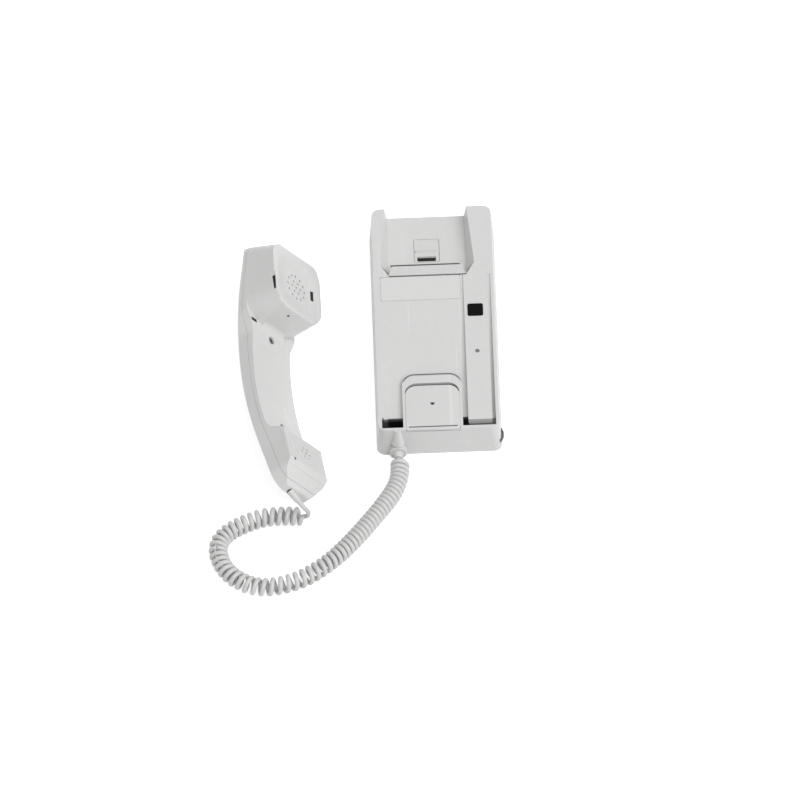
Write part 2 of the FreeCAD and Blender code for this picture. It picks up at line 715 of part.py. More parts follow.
def make_circuit_board():
    board = box(board_left, board_right, board_bottom, board_top, board_z, board_top_z)
    notch = box(board_left - 1, wire_hole_x + wire_hole_r + 1, wire_hole_y - wire_hole_r - 1,
                wire_hole_y + wire_hole_r + 1, 0, 20)
    holes = [rod(board_screw_r + slip, (x, y, 0), (x, y, 20)) for x, y in board_screw_places]
    return board.cut([notch] + holes)


def make_board_screws():
    return Part.makeCompound([screw((x, y, board_top_z), board_screw_head_r, board_screw_head_thick, board_screw_r,
                                    board_top_z - plate_thick - 0.4, (0, 0, 1)) for x, y in board_screw_places])


def make_board_parts():
    """Two capacitors, one long chip and a row of resistors, each standing on the board."""
    parts = []
    for x, y, r, tall in ((-12.0, -13.0, 4.0, 11.0), (-24.0, -15.0, 4.0, 11.0)):
        can = rod(r, (x, y, board_top_z), (x, y, board_top_z + tall))
        parts.append(can.makeFillet(0.6, [e for e in can.Edges if e.BoundBox.ZMin > board_top_z + 1]))
    chip = box(-1.5, 17.5, -13.2, -6.8, board_top_z, board_top_z + 3.6)
    parts.append(chip.cut(rod(1.0, (-1.5, -10.0, board_top_z + 3.0), (-1.5, -10.0, board_top_z + 5))))
    for i in range(5):
        x = -2.0 + 5.5 * i
        parts.append(rod(1.15, (x, -42.0, board_top_z + 1.15), (x, -35.5, board_top_z + 1.15)))
    return Part.makeCompound(parts)


def make_sounder():
    body = rod(sounder_r, (sounder_x, sounder_y, board_top_z), (sounder_x, sounder_y, board_top_z + sounder_height))
    body = body.makeFillet(0.7, [e for e in body.Edges if e.BoundBox.ZMin > board_top_z + 1])
    return body.cut(rod(1.5, (sounder_x, sounder_y, board_top_z + 2), (sounder_x, sounder_y, board_top_z + 10)))


def block_screw_xs():
    pitch = block_size[0] / block_ways
    return [block_x + pitch * (i - (block_ways - 1) / 2) for i in range(block_ways)]


def make_terminal_block():
    wide, deep, tall = block_size
    body = box(block_x - wide / 2, block_x + wide / 2, block_y - deep / 2, block_y + deep / 2, board_top_z,
               board_top_z + tall)
    cuts = []
    for x in block_screw_xs():
        cuts.append(rod(block_screw_r + slip, (x, block_y, board_top_z + tall - 4), (x, block_y, board_top_z + tall + 1)))
        cuts.append(box(x - 1.6, x + 1.6, block_y + 1, block_y + deep, board_top_z + 1.2, board_top_z + 3.6))
    return body.cut(cuts)


def make_block_screws():
    top = board_top_z + block_size[2]
    screws = []
    for x in block_screw_xs():
        head = rod(block_screw_r, (x, block_y, top - 3.6), (x, block_y, top - block_screw_rise))
        screws.append(head.cut(box(x - 0.3, x + 0.3, block_y - 3, block_y + 3, top - block_screw_rise - 0.8, top)))
    return Part.makeCompound(screws)


def make_volume_control():
    x = wheel_centre_x()
    body = rod(control_r, (x, wheel_y, plate_thick), (x, wheel_y, wheel_z - 0.4))
    return body.cut(rod(axle_r + running, (x, wheel_y, plate_thick + 0.6), (x, wheel_y, wheel_z + 1)))


def make_volume_wheel():
    x = wheel_centre_x()
    wheel = rod(wheel_r, (x, wheel_y, wheel_z), (x, wheel_y, wheel_z + wheel_thick))
    cuts = []
    for i in range(wheel_notches):
        turn = 2 * math.pi * i / wheel_notches
        place = (x + math.cos(turn) * (wheel_r + 0.25), wheel_y + math.sin(turn) * (wheel_r + 0.25))
        cuts.append(rod(0.6, (*place, wheel_z - 1), (*place, wheel_z + wheel_thick + 1)))
    axle = rod(axle_r, (x, wheel_y, plate_thick + 0.7), (x, wheel_y, wheel_z + 0.5))
    return fuse(wheel.cut(cuts), axle)


def make_cord_boot():
    """Strain relief: a flange inside the end wall, a neck through it, a collar and a taper."""
    inner = trough_low + seat_gap / 2
    profile = [(0, inner + boot_flange_thick), (boot_flange_r, inner + boot_flange_thick), (boot_flange_r, inner),
               (boot_neck_r, inner), (boot_neck_r, base_bottom - seat_gap / 2), (collar_r, base_bottom - seat_gap / 2),
               (collar_r, base_bottom - collar_length), (boot_tip_r + 1.0, base_bottom - collar_length),
               (boot_tip_r, base_bottom - boot_length), (0, base_bottom - boot_length)]
    half = Part.Face(outline([(r, y, 0) for r, y in profile], [0, 0.4, 0.4, 0, 0, 0.6, 0.8, 0, 0.4, 0]))
    boot = half.revolve(V(0, 0, 0), Y_AXIS, 360)
    boot.translate(V(cord_x, 0, cord_z))
    return boot


def make_base_wires():
    """Four leads from the cord to the terminal block, round the post and up over the board."""
    wires = []
    start_y = trough_low + seat_gap / 2 + boot_flange_thick
    end_y = block_y - block_size[1] / 2
    for i, end_x in enumerate(block_screw_xs()):
        side = (i - 1.5) * 1.4
        route = [(cord_x + side, start_y, cord_z), (cord_x + side, start_y + 4, cord_z),
                 (side - 24.3, -80.0, 10.5), (side - 24.4, -62.0, 10.6),
                 (end_x * 0.6 - 9.0, -51.0, 10.2), (end_x, end_y - 6, 10.2), (end_x, end_y, 10.2)]
        wires.append(tube_along(route, 0.55))
    return Part.makeCompound(wires)


# ---------------------------------------------------------------- handset, in its own frame
# Points of the side outline as (y, z): ear face, back, tail, mouth face, dished handle
ear_low, ear_high = (0.0, 0.0), (ear_face_length, ear_face_rise)
back_ear, back_middle, back_mouth = (47.0, -29.3), (-29.6, -51.5), (tail_end + 9.0, -30.2)
back_bend = 297.0
mouth_low, mouth_high = (tail_end + 15.8, -10.7), (tail_end + 42.3, -12.5)
handle_ear, handle_middle, handle_mouth = (0.0, -25.0), (-48.0, -34.0), (tail_end + 49.3, -25.5)
handle_bend = 232.0


def back_corner():
    """Where the leaning ear end would meet the back, were that corner sharp."""
    slope = (back_ear[1] - back_middle[1]) / (back_ear[0] - back_middle[0])
    y = (ear_face_length + ear_end_lean * (ear_face_rise - back_ear[1] + slope * back_ear[0])) \
        / (1 + ear_end_lean * slope)
    return y, back_ear[1] + slope * (y - back_ear[0])


def handset_side(inset):
    points = [ear_low, ear_high, back_corner(), back_middle, back_mouth, (tail_end + 0.6, -28.45),
              (tail_end + 1.5, -22.5), mouth_low, mouth_high, handle_mouth, handle_middle, handle_ear]
    radii = [2.6, 3.0, 14.0, back_bend, 0, 0, 3.0, 2.6, 3.0, 9.0, handle_bend, 5.0]
    wire = outline([(0, y, z) for y, z in points], radii)
    return wire.makeOffset2D(-inset) if inset else wire


def handset_plan(inset):
    """Outline from above: wide ear end, narrower handle, rounded mouth end."""
    e, h, m = ear_half_width, handle_ear_half_width, mouth_half_width
    right = [(m - 8.5, tail_end), (m, tail_end + 11.0), (m, tail_end + 36.0),
             (handle_mouth_half_width, tail_end + 56.0), (h, -9.0), (e, 5.0), (e, ear_face_length + 40)]
    radii = [9.0, 7.0, 30.0, 40.0, 9.0, 12.0, 0.0]
    left = [(-x, y) for x, y in reversed(right)]
    wire = outline([(x, y, 0) for x, y in right + left], radii + list(reversed(radii)))
    return wire.makeOffset2D(-inset) if inset else wire


def ear_end_form(inset):
    """Leaning prism that rounds the corners of the ear end at every depth."""
    half, low = ear_half_width - inset, 60.0
    shift = inset * math.sqrt(1 + ear_end_lean ** 2)
    end = ear_face_length + (ear_face_rise + low) * ear_end_lean - shift
    points = [(-half, 2 * tail_end, -low), (half, 2 * tail_end, -low), (half, end, -low), (-half, end, -low)]
    return prism(points, (0, -100 * ear_end_lean, 100), [0, 0, ear_corner_r - inset, ear_corner_r - inset])


def ear_corner_cuts(inset):
    """What is cut off the two ear corners that face the mouth, down to the handle."""
    half, near, r = ear_half_width - inset, ear_low[0] + inset, ear_heel_r - inset
    cuts = []
    for side in (-1, 1):
        middle = rod(r, (side * (half - r), near + r, handle_ear[1] - inset), (side * (half - r), near + r, 30))
        block = box(*sorted((side * (half - r), side * (half + 5))), near - 5, near + r,
                    handle_ear[1] - inset, 30)
        cuts.append(block.cut(middle))
    return cuts


def on_line(a, b, y):
    """The place at y on the straight line through two points of the side view."""
    return y, a[1] + (b[1] - a[1]) * (y - a[0]) / (b[0] - a[0])


def handset_back(inset):
    """Long block whose underside is the handset's curved back, with its long edges rounded."""
    half, top = ear_half_width - inset, 60.0
    ends = [on_line(back_middle, back_ear, 2 * ear_face_length), on_line(back_middle, back_mouth, 2 * tail_end)]
    profile = [(ends[0][0], top), ends[0], back_middle, ends[1], (ends[1][0], top)]
    wire = outline([(0, y, z) for y, z in profile], [0, 0, back_bend, 0, 0])
    block = Part.Face(wire.makeOffset2D(-inset) if inset else wire).extrude(V(2 * half, 0, 0))
    block.translate(V(-half, 0, 0))
    long_edges = []
    for edge in block.Edges:
        middle = edge.valueAt((edge.FirstParameter + edge.LastParameter) / 2)
        if abs(abs(middle.x) - half) < 1e-3 and middle.z < 0:
            long_edges.append(edge)
    return block.makeFillet(back_round - inset, long_edges)


def handset_form(inset):
    """The handset's outside, or that shape shrunk by a wall."""
    half = ear_half_width - inset
    side = Part.Face(handset_side(inset)).extrude(V(2 * half, 0, 0))
    side.translate(V(-half, 0, 0))
    plan = Part.Face(handset_plan(inset)).extrude(V(0, 0, 100))
    plan.translate(V(0, 0, back_middle[1] - 20))
    form = side.common(handset_back(inset)).common(plan).common(ear_end_form(inset))
    return form.cut(ear_corner_cuts(inset))


def seam_points(lift):
    return [(ear_face_length + 40, back_ear[1] + lift + 44 * 0.28), (back_ear[0], back_ear[1] + lift),
            (back_middle[0], back_middle[1] + lift), (back_mouth[0], back_mouth[1] + lift),
            (tail_end - 20, back_mouth[1] + lift - 20 * 0.23 + 11)]


def arc_lowest(ear_side, corner, mouth_side, bend):
    """The place where the arc that rounds a corner of the side view runs level."""
    slope = math.atan2(ear_side[1] - corner[1], ear_side[0] - corner[0])
    fall = math.atan2(mouth_side[1] - corner[1], corner[0] - mouth_side[0])
    reach = bend * math.tan((slope + fall) / 2)
    y = corner[0] + reach * math.cos(slope) - bend * math.sin(slope)
    z = corner[1] + reach * math.sin(slope) - bend * (1 - math.cos(slope))
    return y, z


def back_lowest():
    return arc_lowest(back_ear, back_middle, back_mouth, back_bend)


def handset_seam_z(y):
    """Height of the parting line along the curved back."""
    low_y, low_z = back_lowest()
    return low_z + seam_lift + (y - low_y) ** 2 / (2 * back_bend)


def below_seam(lift):
    """Everything under the parting line, lifted or lowered a little."""
    line = [(-50, y, z) for y, z in seam_points(lift)]
    points = line + [(-50, tail_end - 20, -90), (-50, ear_face_length + 40, -90)]
    return prism(points, (100, 0, 0), [0, 0, back_bend - lift, 0, 0, 0, 0])


def face_slope(low, high):
    return (high[1] - low[1]) / (high[0] - low[0])


def above_face(low, high, depth, y0, y1):
    """Everything over the plane that lies some depth under a cap's face."""
    slope = face_slope(low, high)
    z0, z1 = low[1] + (y0 - low[0]) * slope - depth, low[1] + (y1 - low[0]) * slope - depth
    return prism([(-50, y0, z0), (-50, y1, z1), (-50, y1, z1 + 30), (-50, y0, z0 + 30)], (100, 0, 0))


def ear_slab(depth):
    return above_face(ear_low, ear_high, depth, -8.0, ear_face_length + 40)


def mouth_slab(depth):
    return above_face(mouth_low, mouth_high, depth, tail_end - 8, mouth_high[0] + 6)


def on_face(shape, low, high, y):
    """Sets a shape made on the XY plane down on a cap's face, tilted with it."""
    slope = face_slope(low, high)
    shape.rotate(V(0, 0, 0), X_AXIS, math.degrees(math.atan(slope)))
    shape.translate(V(0, y, low[1] + (y - low[0]) * slope))
    return shape


def cap_cuts(radius, rings):
    """A shallow dish and the rings of sound holes, made on the XY plane."""
    cuts = [Part.makeCone(radius - dish_slope, radius, dish_depth, V(0, 0, -dish_depth)),
            Part.makeCylinder(radius, 8, V(0, 0, 0))]
    for ring_r, count in rings:
        for i in range(count):
            turn = 2 * math.pi * i / count
            cuts.append(Part.makeCylinder(hole_r, 12, V(ring_r * math.cos(turn), ring_r * math.sin(turn), -10)))
    return Part.makeCompound(cuts)


def handset_wall():
    return handset_form(0).cut(handset_form(shell_wall))


def handle_face_z(y):
    """Height of the handle's inner face on its centreline."""
    low_y, low_z = arc_lowest(handle_ear, handle_middle, handle_mouth, handle_bend)
    return low_z + (y - low_y) ** 2 / (2 * handle_bend)


def screw_seat_z(y):
    return handle_face_z(y) - 0.5 - screw_head_thick


def make_handset_front_shell():
    shell = handset_wall().cut(below_seam(seam_lift + seam_gap / 2))
    shell = shell.cut([ear_slab(cap_thick + cap_gap), mouth_slab(cap_thick + cap_gap)])
    for y in handset_screw_ys:
        top = handle_face_z(y)
        boss = rod(handset_post_r + 0.8, (0, y, top - 5.2), (0, y, top + 5))
        shell = shell.fuse(boss.common(handset_form(0)))
        shell = shell.cut([rod(handset_screw_head_r + 0.2, (0, y, screw_seat_z(y)), (0, y, top + 6)),
                           rod(handset_screw_r + slip, (0, y, top - 20), (0, y, top))])
    return shell.cut(handset_boot_hole()).removeSplitter()


def make_handset_back_shell():
    shell = handset_wall().common(below_seam(seam_lift - seam_gap / 2))
    inside = handset_form(0)
    for y in handset_screw_ys:
        post = rod(handset_post_r, (0, y, -60), (0, y, handle_face_z(y) - 5.2 - seat_gap))
        shell = shell.fuse(post.common(inside))
    for side in (-1, 1):
        y = back_lowest()[0] + side * 10.0
        rib = box(-weight_size[0] / 2, weight_size[0] / 2, y - 1, y + 1, -60, weight_low_z())
        shell = shell.fuse(rib.common(inside))
    cuts = [rod(handset_screw_r + slip, (0, y, screw_seat_z(y) - handset_screw_length - 0.5), (0, y, 0))
            for y in handset_screw_ys]
    return shell.cut(cuts).cut(handset_boot_hole()).removeSplitter()


def weight_low_z():
    """The weight's underside, just clear of the curved back under its ends."""
    return back_lowest()[1] + shell_wall + (weight_size[1] / 2 + 1) ** 2 / (2 * back_bend) + seat_gap


def make_ear_cap():
    cap = handset_form(0).common(ear_slab(cap_thick))
    cap = cap.cut(on_face(cap_cuts(dish_r, [(0, 1), (4.6, 6), (9.2, 12)]), ear_low, ear_high, ear_centre_y))
    notch = box(-ear_half_width - 1, -ear_half_width + 1.0, 1.5, 24.0, -1.6, 5)
    return cap.cut(notch)


def make_mouth_cap():
    cap = handset_form(0).common(mouth_slab(cap_thick))
    return cap.cut(on_face(cap_cuts_mouth(), mouth_low, mouth_high, mouth_centre_y))


def cap_cuts_mouth():
    rings = [(0, 1), (4.4, 6)]
    holes = [Part.makeCylinder(hole_r, 12, V(r * math.cos(2 * math.pi * i / n), r * math.sin(2 * math.pi * i / n), -10))
             for r, n in rings for i in range(n)]
    return Part.makeCompound(holes)


def make_receiver():
    """Earphone capsule: a wide front and a narrower magnet behind it."""
    top = -cap_thick - ring_thick
    front = Part.makeCylinder(receiver_r, receiver_height * 0.45, V(0, 0, top - receiver_height * 0.45))
    magnet = Part.makeCylinder(receiver_r * 0.7, receiver_height, V(0, 0, top - receiver_height))
    return on_face(fuse(front, magnet), ear_low, ear_high, ear_centre_y)


def gasket(radius):
    low = -cap_thick - ring_thick
    ring = Part.makeCylinder(radius, ring_thick, V(0, 0, low))
    return ring.cut(Part.makeCylinder(radius - ring_width, ring_thick + 2, V(0, 0, low - 1)))


def make_receiver_ring():
    return on_face(gasket(receiver_r - 0.5), ear_low, ear_high, ear_centre_y)


def make_transmitter():
    """Microphone capsule: a short can with two contacts behind."""
    top = -cap_thick - ring_thick
    can = Part.makeCylinder(mic_r, mic_height, V(0, 0, top - mic_height))
    contacts = [Part.makeCylinder(1.5, 2.2, V(x, 0, top - mic_height - contact_rise)) for x in (-mic_r / 2, mic_r / 2)]
    return on_face(fuse(can, *contacts), mouth_low, mouth_high, mouth_centre_y)


def make_transmitter_ring():
    return on_face(gasket(mic_r - 0.5), mouth_low, mouth_high, mouth_centre_y)


def make_handset_weight():
    wide, long, thick = weight_size
    low = weight_low_z()
    middle = back_lowest()[0]
    bar = box(-wide / 2, wide / 2, middle - long / 2, middle + long / 2, low, low + thick)
    return bar.makeChamfer(0.8, bar.Edges)


def make_handset_screws():
    return Part.makeCompound([screw((0, y, screw_seat_z(y)), handset_screw_head_r, screw_head_thick,
                                    handset_screw_r, handset_screw_length, (0, 0, 1)) for y in handset_screw_ys])


def boot_way():
    """Direction in which the bent boot leaves the handset's end."""
    swing, lift = math.radians(handset_boot_swing), math.radians(handset_boot_lift)
    return V(math.sin(swing) * math.cos(lift), -math.cos(swing) * math.cos(lift), math.sin(lift))


def boot_point(out):
    """Point on the boot's axis, some way out of the handset's end (or in, if negative)."""
    return V(handset_boot_x, tail_end, handset_boot_z) + boot_way() * out


def handset_boot_hole():
    boot_way_in = rod(handset_boot_r + slip, boot_point(-handset_boot_in - 0.6), boot_point(handset_boot_out))
    lead_way_in = rod(lead_hole_r, boot_point(-handset_boot_in - 4.4), boot_point(-handset_boot_in))
    return boot_way_in.fuse(lead_way_in)


def make_handset_boot():
    start, end = -handset_boot_in, handset_boot_out
    profile = [(0, start), (handset_boot_r, start), (handset_boot_r, 2.0), (handset_boot_tip_r, end), (0, end)]
    half = Part.Face(outline([(r, y, 0) for r, y in profile], [0, 0.3, 0.8, 0.3, 0]))
    boot = half.revolve(V(0, 0, 0), Y_AXIS, 360)
    boot.Placement = FreeCAD.Placement(boot_point(0), FreeCAD.Rotation(Y_AXIS, boot_way()))
    return boot


def under_face(low, high, y, depth):
    """Point (y, z) some depth behind a cap's face, square to it."""
    slope = math.atan(face_slope(low, high))
    z = low[1] + (y - low[0]) * face_slope(low, high)
    return y + math.sin(slope) * depth, z - math.cos(slope) * depth


def make_handset_wires():
    """A pair of leads to the microphone, and a pair along the handle to the earphone."""
    way, across = boot_way(), boot_way().cross(Z_AXIS).normalize()
    up = across.cross(way)
    mic_depth = cap_thick + ring_thick + mic_height + contact_rise
    ear_depth = cap_thick + ring_thick + receiver_height
    mic_y, mic_z = under_face(mouth_low, mouth_high, mouth_centre_y, mic_depth)
    mic_below = under_face(mouth_low, mouth_high, mouth_centre_y, mic_depth + 3)
    ear_y, ear_z = under_face(ear_low, ear_high, ear_centre_y - lead_from_centre, ear_depth)
    ear_below = under_face(ear_low, ear_high, ear_centre_y - lead_from_centre, ear_depth + 5)
    wires = []
    for side in (-1, 1):
        start = boot_point(-handset_boot_in) + across * side * 0.7 + up * 0.7
        x = side * mic_r / 2
        wires.append(tube_along([start, start - way, start - way * 2.8 + up * 0.3, V(x - 3.0, mic_y - 11, mouth_low[1] - 14.9), V(x, *mic_below),
                                 V(x, mic_y, mic_z)], lead_r))
    for side in (-1, 1):
        start = boot_point(-handset_boot_in) + across * side * 0.7 - up * 0.6
        x = side * 1.6 - 9.5
        along = [V(x, y, handle_face_z(y) - shell_wall - lead_depth) for y in handle_lead_ys]
        wires.append(tube_along([start, start - way, start - way * 2.8 + up * 1.3, V(x, tail_end + 10.8, back_mouth[1] + 3.2),
                                 V(x, tail_end + 30.8, back_mouth[1] + 0.8), *along,
                                 V(x, handle_ear[0] - 4, handle_ear[1] - 4.6),
                                 V(x, handle_ear[0] + 9, handle_ear[1] - 2),
                                 V(x, *ear_below), V(x, ear_y, ear_z)], lead_r))
    return Part.makeCompound(wires)


# ---------------------------------------------------------------- cord
def make_cord_coil():
    return tube_along(coil_route, coil_r, label="cord_coil")


def make_cord_tail_base():
    return tube_along(base_tail_route, cord_r, label="cord_tail_base")


def make_cord_tail_handset():
    return tube_along(handset_tail_route, cord_r, label="cord_tail_handset")


# ---------------------------------------------------------------- placing and writing
def handset_placement(lowest):
    """Rolls, turns and sets down the handset so that its lowest point is on the surface."""
    turn = FreeCAD.Rotation(Z_AXIS, handset_yaw).multiply(FreeCAD.Rotation(Y_AXIS, handset_roll))
    corner = turn.multVec(V(-ear_half_width, 0, 0))
    place = V(handset_at[0] - corner.x, handset_at[1] - corner.y, -lowest)
    return FreeCAD.Placement(place, turn)


BASE_PIECES = ["front_housing", "back_plate", "housing_screws", "hang_tab", "label_plate", "call_button",
               "button_switch", "button_spring", "light_pipe", "indicator_lamp", "hook_paddle", "paddle_pin",
               "paddle_spring", "hook_switch", "hook_plunger", "circuit_board", "board_screws", "board_parts",
               "sounder", "terminal_block", "block_screws", "volume_control", "volume_wheel", "cord_boot",
               "base_wires"]
HANDSET_PIECES = ["handset_front_shell", "handset_back_shell", "ear_cap", "mouth_cap", "receiver",
                  "receiver_ring", "transmitter", "transmitter_ring", "handset_weight", "handset_screws",
                  "handset_boot", "handset_wires"]
CORD_PIECES = ["cord_tail_base", "cord_coil", "cord_tail_handset"]


def main():
    os.makedirs("parts", exist_ok=True)
    for name in BASE_PIECES + CORD_PIECES:
        globals()["make_" + name]().exportStep(f"parts/{name}.step")
    handset = {name: globals()["make_" + name]() for name in HANDSET_PIECES}
    rolled = handset["handset_back_shell"].copy()
    rolled.Placement = handset_placement(0.0).multiply(rolled.Placement)
    placement = handset_placement(rolled.optimalBoundingBox(False).ZMin)
    for name, shape in handset.items():
        shape.Placement = placement.multiply(shape.Placement)
        shape.exportStep(f"parts/{name}.step")
    tip = placement.multVec(boot_point(handset_boot_out))
    print(f"handset boot tip at {tip.x:.2f}, {tip.y:.2f}, {tip.z:.2f}; handset raised {placement.Base.z:.2f}")


if __name__ == "__main__":
    main()
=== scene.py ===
# %% [markdown]
# # A slim wall phone, its handset and its curly cord
# The phone's base lies on its back on a pale table. The handset lies beside it on its side, and a
# curly cord joins the two. The solid pieces come from a finished CAD model, the frame, which holds
# every size and place. This notebook gives them their looks: a camera, a plain studio, the cord
# with all its curls, softened edges, and a finish for every piece.

# %% Load the frame
import bisect
import json
import math
import random

import bmesh
import bpy
from mathutils import Euler, Matrix, Vector


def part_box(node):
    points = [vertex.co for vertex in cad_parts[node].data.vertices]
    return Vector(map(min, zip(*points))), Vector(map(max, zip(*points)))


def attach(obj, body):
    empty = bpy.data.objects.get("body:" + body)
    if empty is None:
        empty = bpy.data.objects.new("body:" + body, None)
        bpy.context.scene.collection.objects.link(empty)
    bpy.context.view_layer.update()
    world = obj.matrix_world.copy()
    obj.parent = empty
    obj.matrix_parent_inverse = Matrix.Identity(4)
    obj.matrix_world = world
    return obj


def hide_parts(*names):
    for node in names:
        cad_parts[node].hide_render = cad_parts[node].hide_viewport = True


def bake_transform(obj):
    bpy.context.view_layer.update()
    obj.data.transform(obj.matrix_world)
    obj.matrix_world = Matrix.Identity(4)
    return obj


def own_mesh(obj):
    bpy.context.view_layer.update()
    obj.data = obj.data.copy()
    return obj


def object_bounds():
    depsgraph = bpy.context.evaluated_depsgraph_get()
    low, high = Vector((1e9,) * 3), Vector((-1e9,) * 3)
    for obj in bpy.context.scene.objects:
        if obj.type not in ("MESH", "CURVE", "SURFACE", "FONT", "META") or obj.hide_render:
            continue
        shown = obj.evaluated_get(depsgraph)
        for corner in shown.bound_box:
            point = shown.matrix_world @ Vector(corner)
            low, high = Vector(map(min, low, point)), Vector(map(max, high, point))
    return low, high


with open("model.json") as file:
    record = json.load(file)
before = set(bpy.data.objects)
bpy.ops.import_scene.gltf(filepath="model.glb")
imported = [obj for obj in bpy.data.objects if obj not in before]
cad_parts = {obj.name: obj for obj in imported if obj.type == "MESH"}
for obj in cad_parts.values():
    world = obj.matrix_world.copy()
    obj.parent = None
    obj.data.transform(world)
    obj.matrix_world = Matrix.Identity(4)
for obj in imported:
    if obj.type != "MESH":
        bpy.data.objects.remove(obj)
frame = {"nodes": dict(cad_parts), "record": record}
nodes = frame["nodes"]
cad_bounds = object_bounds()
mm = 0.001
print("the CAD model's box:", cad_bounds)

# %% [markdown]
# ## The camera
# The phone is seen from its foot, from about 53 degrees above the table, through a long lens, so
# that parallel edges stay nearly parallel. The lens is worked out from two plain facts: how far
# away the camera stands and how wide a strip of table fills the picture there. A small roll about
# the line of sight turns the whole picture a little anticlockwise.

# %% Camera
aim_at = Vector((-0.02652, -0.04997, 0.0))
distance = 11.6
elevation = math.radians(53.0)
roll = math.radians(2.1)
width_seen = 0.5594

camera_data = bpy.data.cameras.new("camera")
camera = bpy.data.objects.new("camera", camera_data)
bpy.context.scene.collection.objects.link(camera)
camera_data.sensor_width = 36.0
camera_data.lens = camera_data.sensor_width * distance / width_seen
camera_data.clip_end = 50.0
away = Vector((0.0, -math.cos(elevation), math.sin(elevation)))
camera.location = aim_at + away * distance
facing = away.to_track_quat("Z", "Y").to_matrix() @ Matrix.Rotation(-roll, 3, "Z")
camera.matrix_world = Matrix.Translation(camera.location) @ facing.to_4x4()
bpy.context.scene.camera = camera
print(f"lens {camera_data.lens:.0f} mm")

# %% [markdown]
# ## A few helpers
# An operator acts on everything that is selected, so one helper deselects first. Materials are
# built node by node, and three more helpers keep that short: one gives an empty material to start
# from, one adds a node with its values, and one draws the links from socket to socket.

# %% Helpers for selections and nodes
def only(*objects):
    """Deselect everything, then select these and make the first one active."""
    if bpy.context.object and bpy.context.object.mode != "OBJECT":
        bpy.ops.object.mode_set(mode="OBJECT")
    bpy.ops.object.select_all(action="DESELECT")
    for piece in objects:
        piece.select_set(True)
    bpy.context.view_layer.objects.active = objects[0]


def new_material(name):
    """A material with an empty node tree but for its output, and that tree."""
    material = bpy.data.materials.new(name)
    material.use_nodes = True
    tree = material.node_tree
    tree.nodes.clear()
    tree.nodes.new("ShaderNodeOutputMaterial")
    return material, tree


def add(tree, kind, **values):
    """Add a node, and set its own settings or its inputs by name."""
    node = tree.nodes.new("ShaderNode" + kind)
    for name, value in values.items():
        if hasattr(node, name):
            setattr(node, name, value)
        else:
            node.inputs[name].default_value = value
    return node


def wire_up(tree, *pairs):
    """Link each pair of an output and an input."""
    for source, target in pairs:
        tree.links.new(source, target)


# %% [markdown]
# ## The table
# A big pale sheet stands for the table. To the camera it glows softly towards white, and its own
# surface still takes the shadows, so that the phone sits on something. The glow also counts for
# rays that come off a shiny surface or through a clear one.

# %% Table
table_size = 6.0
table_tone = 0.80
table_glow = 0.62
table_gap = 0.1 * mm

bpy.ops.object.select_all(action="DESELECT")
bpy.ops.mesh.primitive_plane_add(size=table_size, location=(0, 0, 0))
table = bpy.context.object
table.name = "table"
table.location.z = cad_bounds[0][2] - table_gap
material, tree = new_material("pale_table")
diffuse = add(tree, "BsdfDiffuse", Color=(table_tone, table_tone, table_tone, 1))
glow = add(tree, "Emission")
path = add(tree, "LightPath")
seen = add(tree, "Math", operation="MAXIMUM")
seen_too = add(tree, "Math", operation="MAXIMUM")
strength = add(tree, "Math", operation="MULTIPLY")
strength.inputs[1].default_value = table_glow
both = add(tree, "AddShader")
wire_up(tree, (path.outputs["Is Camera Ray"], seen.inputs[0]),
        (path.outputs["Is Glossy Ray"], seen.inputs[1]),
        (seen.outputs[0], seen_too.inputs[0]),
        (path.outputs["Is Transmission Ray"], seen_too.inputs[1]),
        (seen_too.outputs[0], strength.inputs[0]), (strength.outputs[0], glow.inputs["Strength"]),
        (diffuse.outputs[0], both.inputs[0]), (glow.outputs[0], both.inputs[1]),
        (both.outputs[0], tree.nodes["Material Output"].inputs["Surface"]))
table.data.materials.append(material)
print(f"the table is {table_size:.0f} m wide")

# %% [markdown]
# ## The light
# The light is a wide sky of even strength and one broad sun from the right, in front and above:
# surfaces that face it are brightest, and those that face left are a step darker. Where the camera
# sees the sky itself, it is plain white.

# %% Sky and sun
sky_level = 0.55
sun_level = 0.52
sun_width = math.radians(50)
sun_towards = Vector((0.44, -0.34, 0.83)).normalized()

world = bpy.data.worlds.new("sky")
bpy.context.scene.world = world
world.use_nodes = True
tree = world.node_tree
sky = tree.nodes["Background"]
sky.inputs["Color"].default_value = (1, 1, 1, 1)
path = add(tree, "LightPath")
sky_mix = add(tree, "Mix", data_type="FLOAT")
sky_mix.inputs[2].default_value = sky_level
sky_mix.inputs[3].default_value = 1.0
wire_up(tree, (path.outputs["Is Camera Ray"], sky_mix.inputs[0]),
        (sky_mix.outputs[0], sky.inputs["Strength"]))

sun_data = bpy.data.lights.new("sun", "SUN")
sun_data.energy = sun_level * math.pi
sun_data.angle = sun_width
sun = bpy.data.objects.new("sun", sun_data)
sun.rotation_euler = sun_towards.to_track_quat("Z", "Y").to_euler()
bpy.context.scene.collection.objects.link(sun)
bpy.context.scene.view_settings.view_transform = "Standard"
print("sky at", sky_level, "and sun at", sun_level)
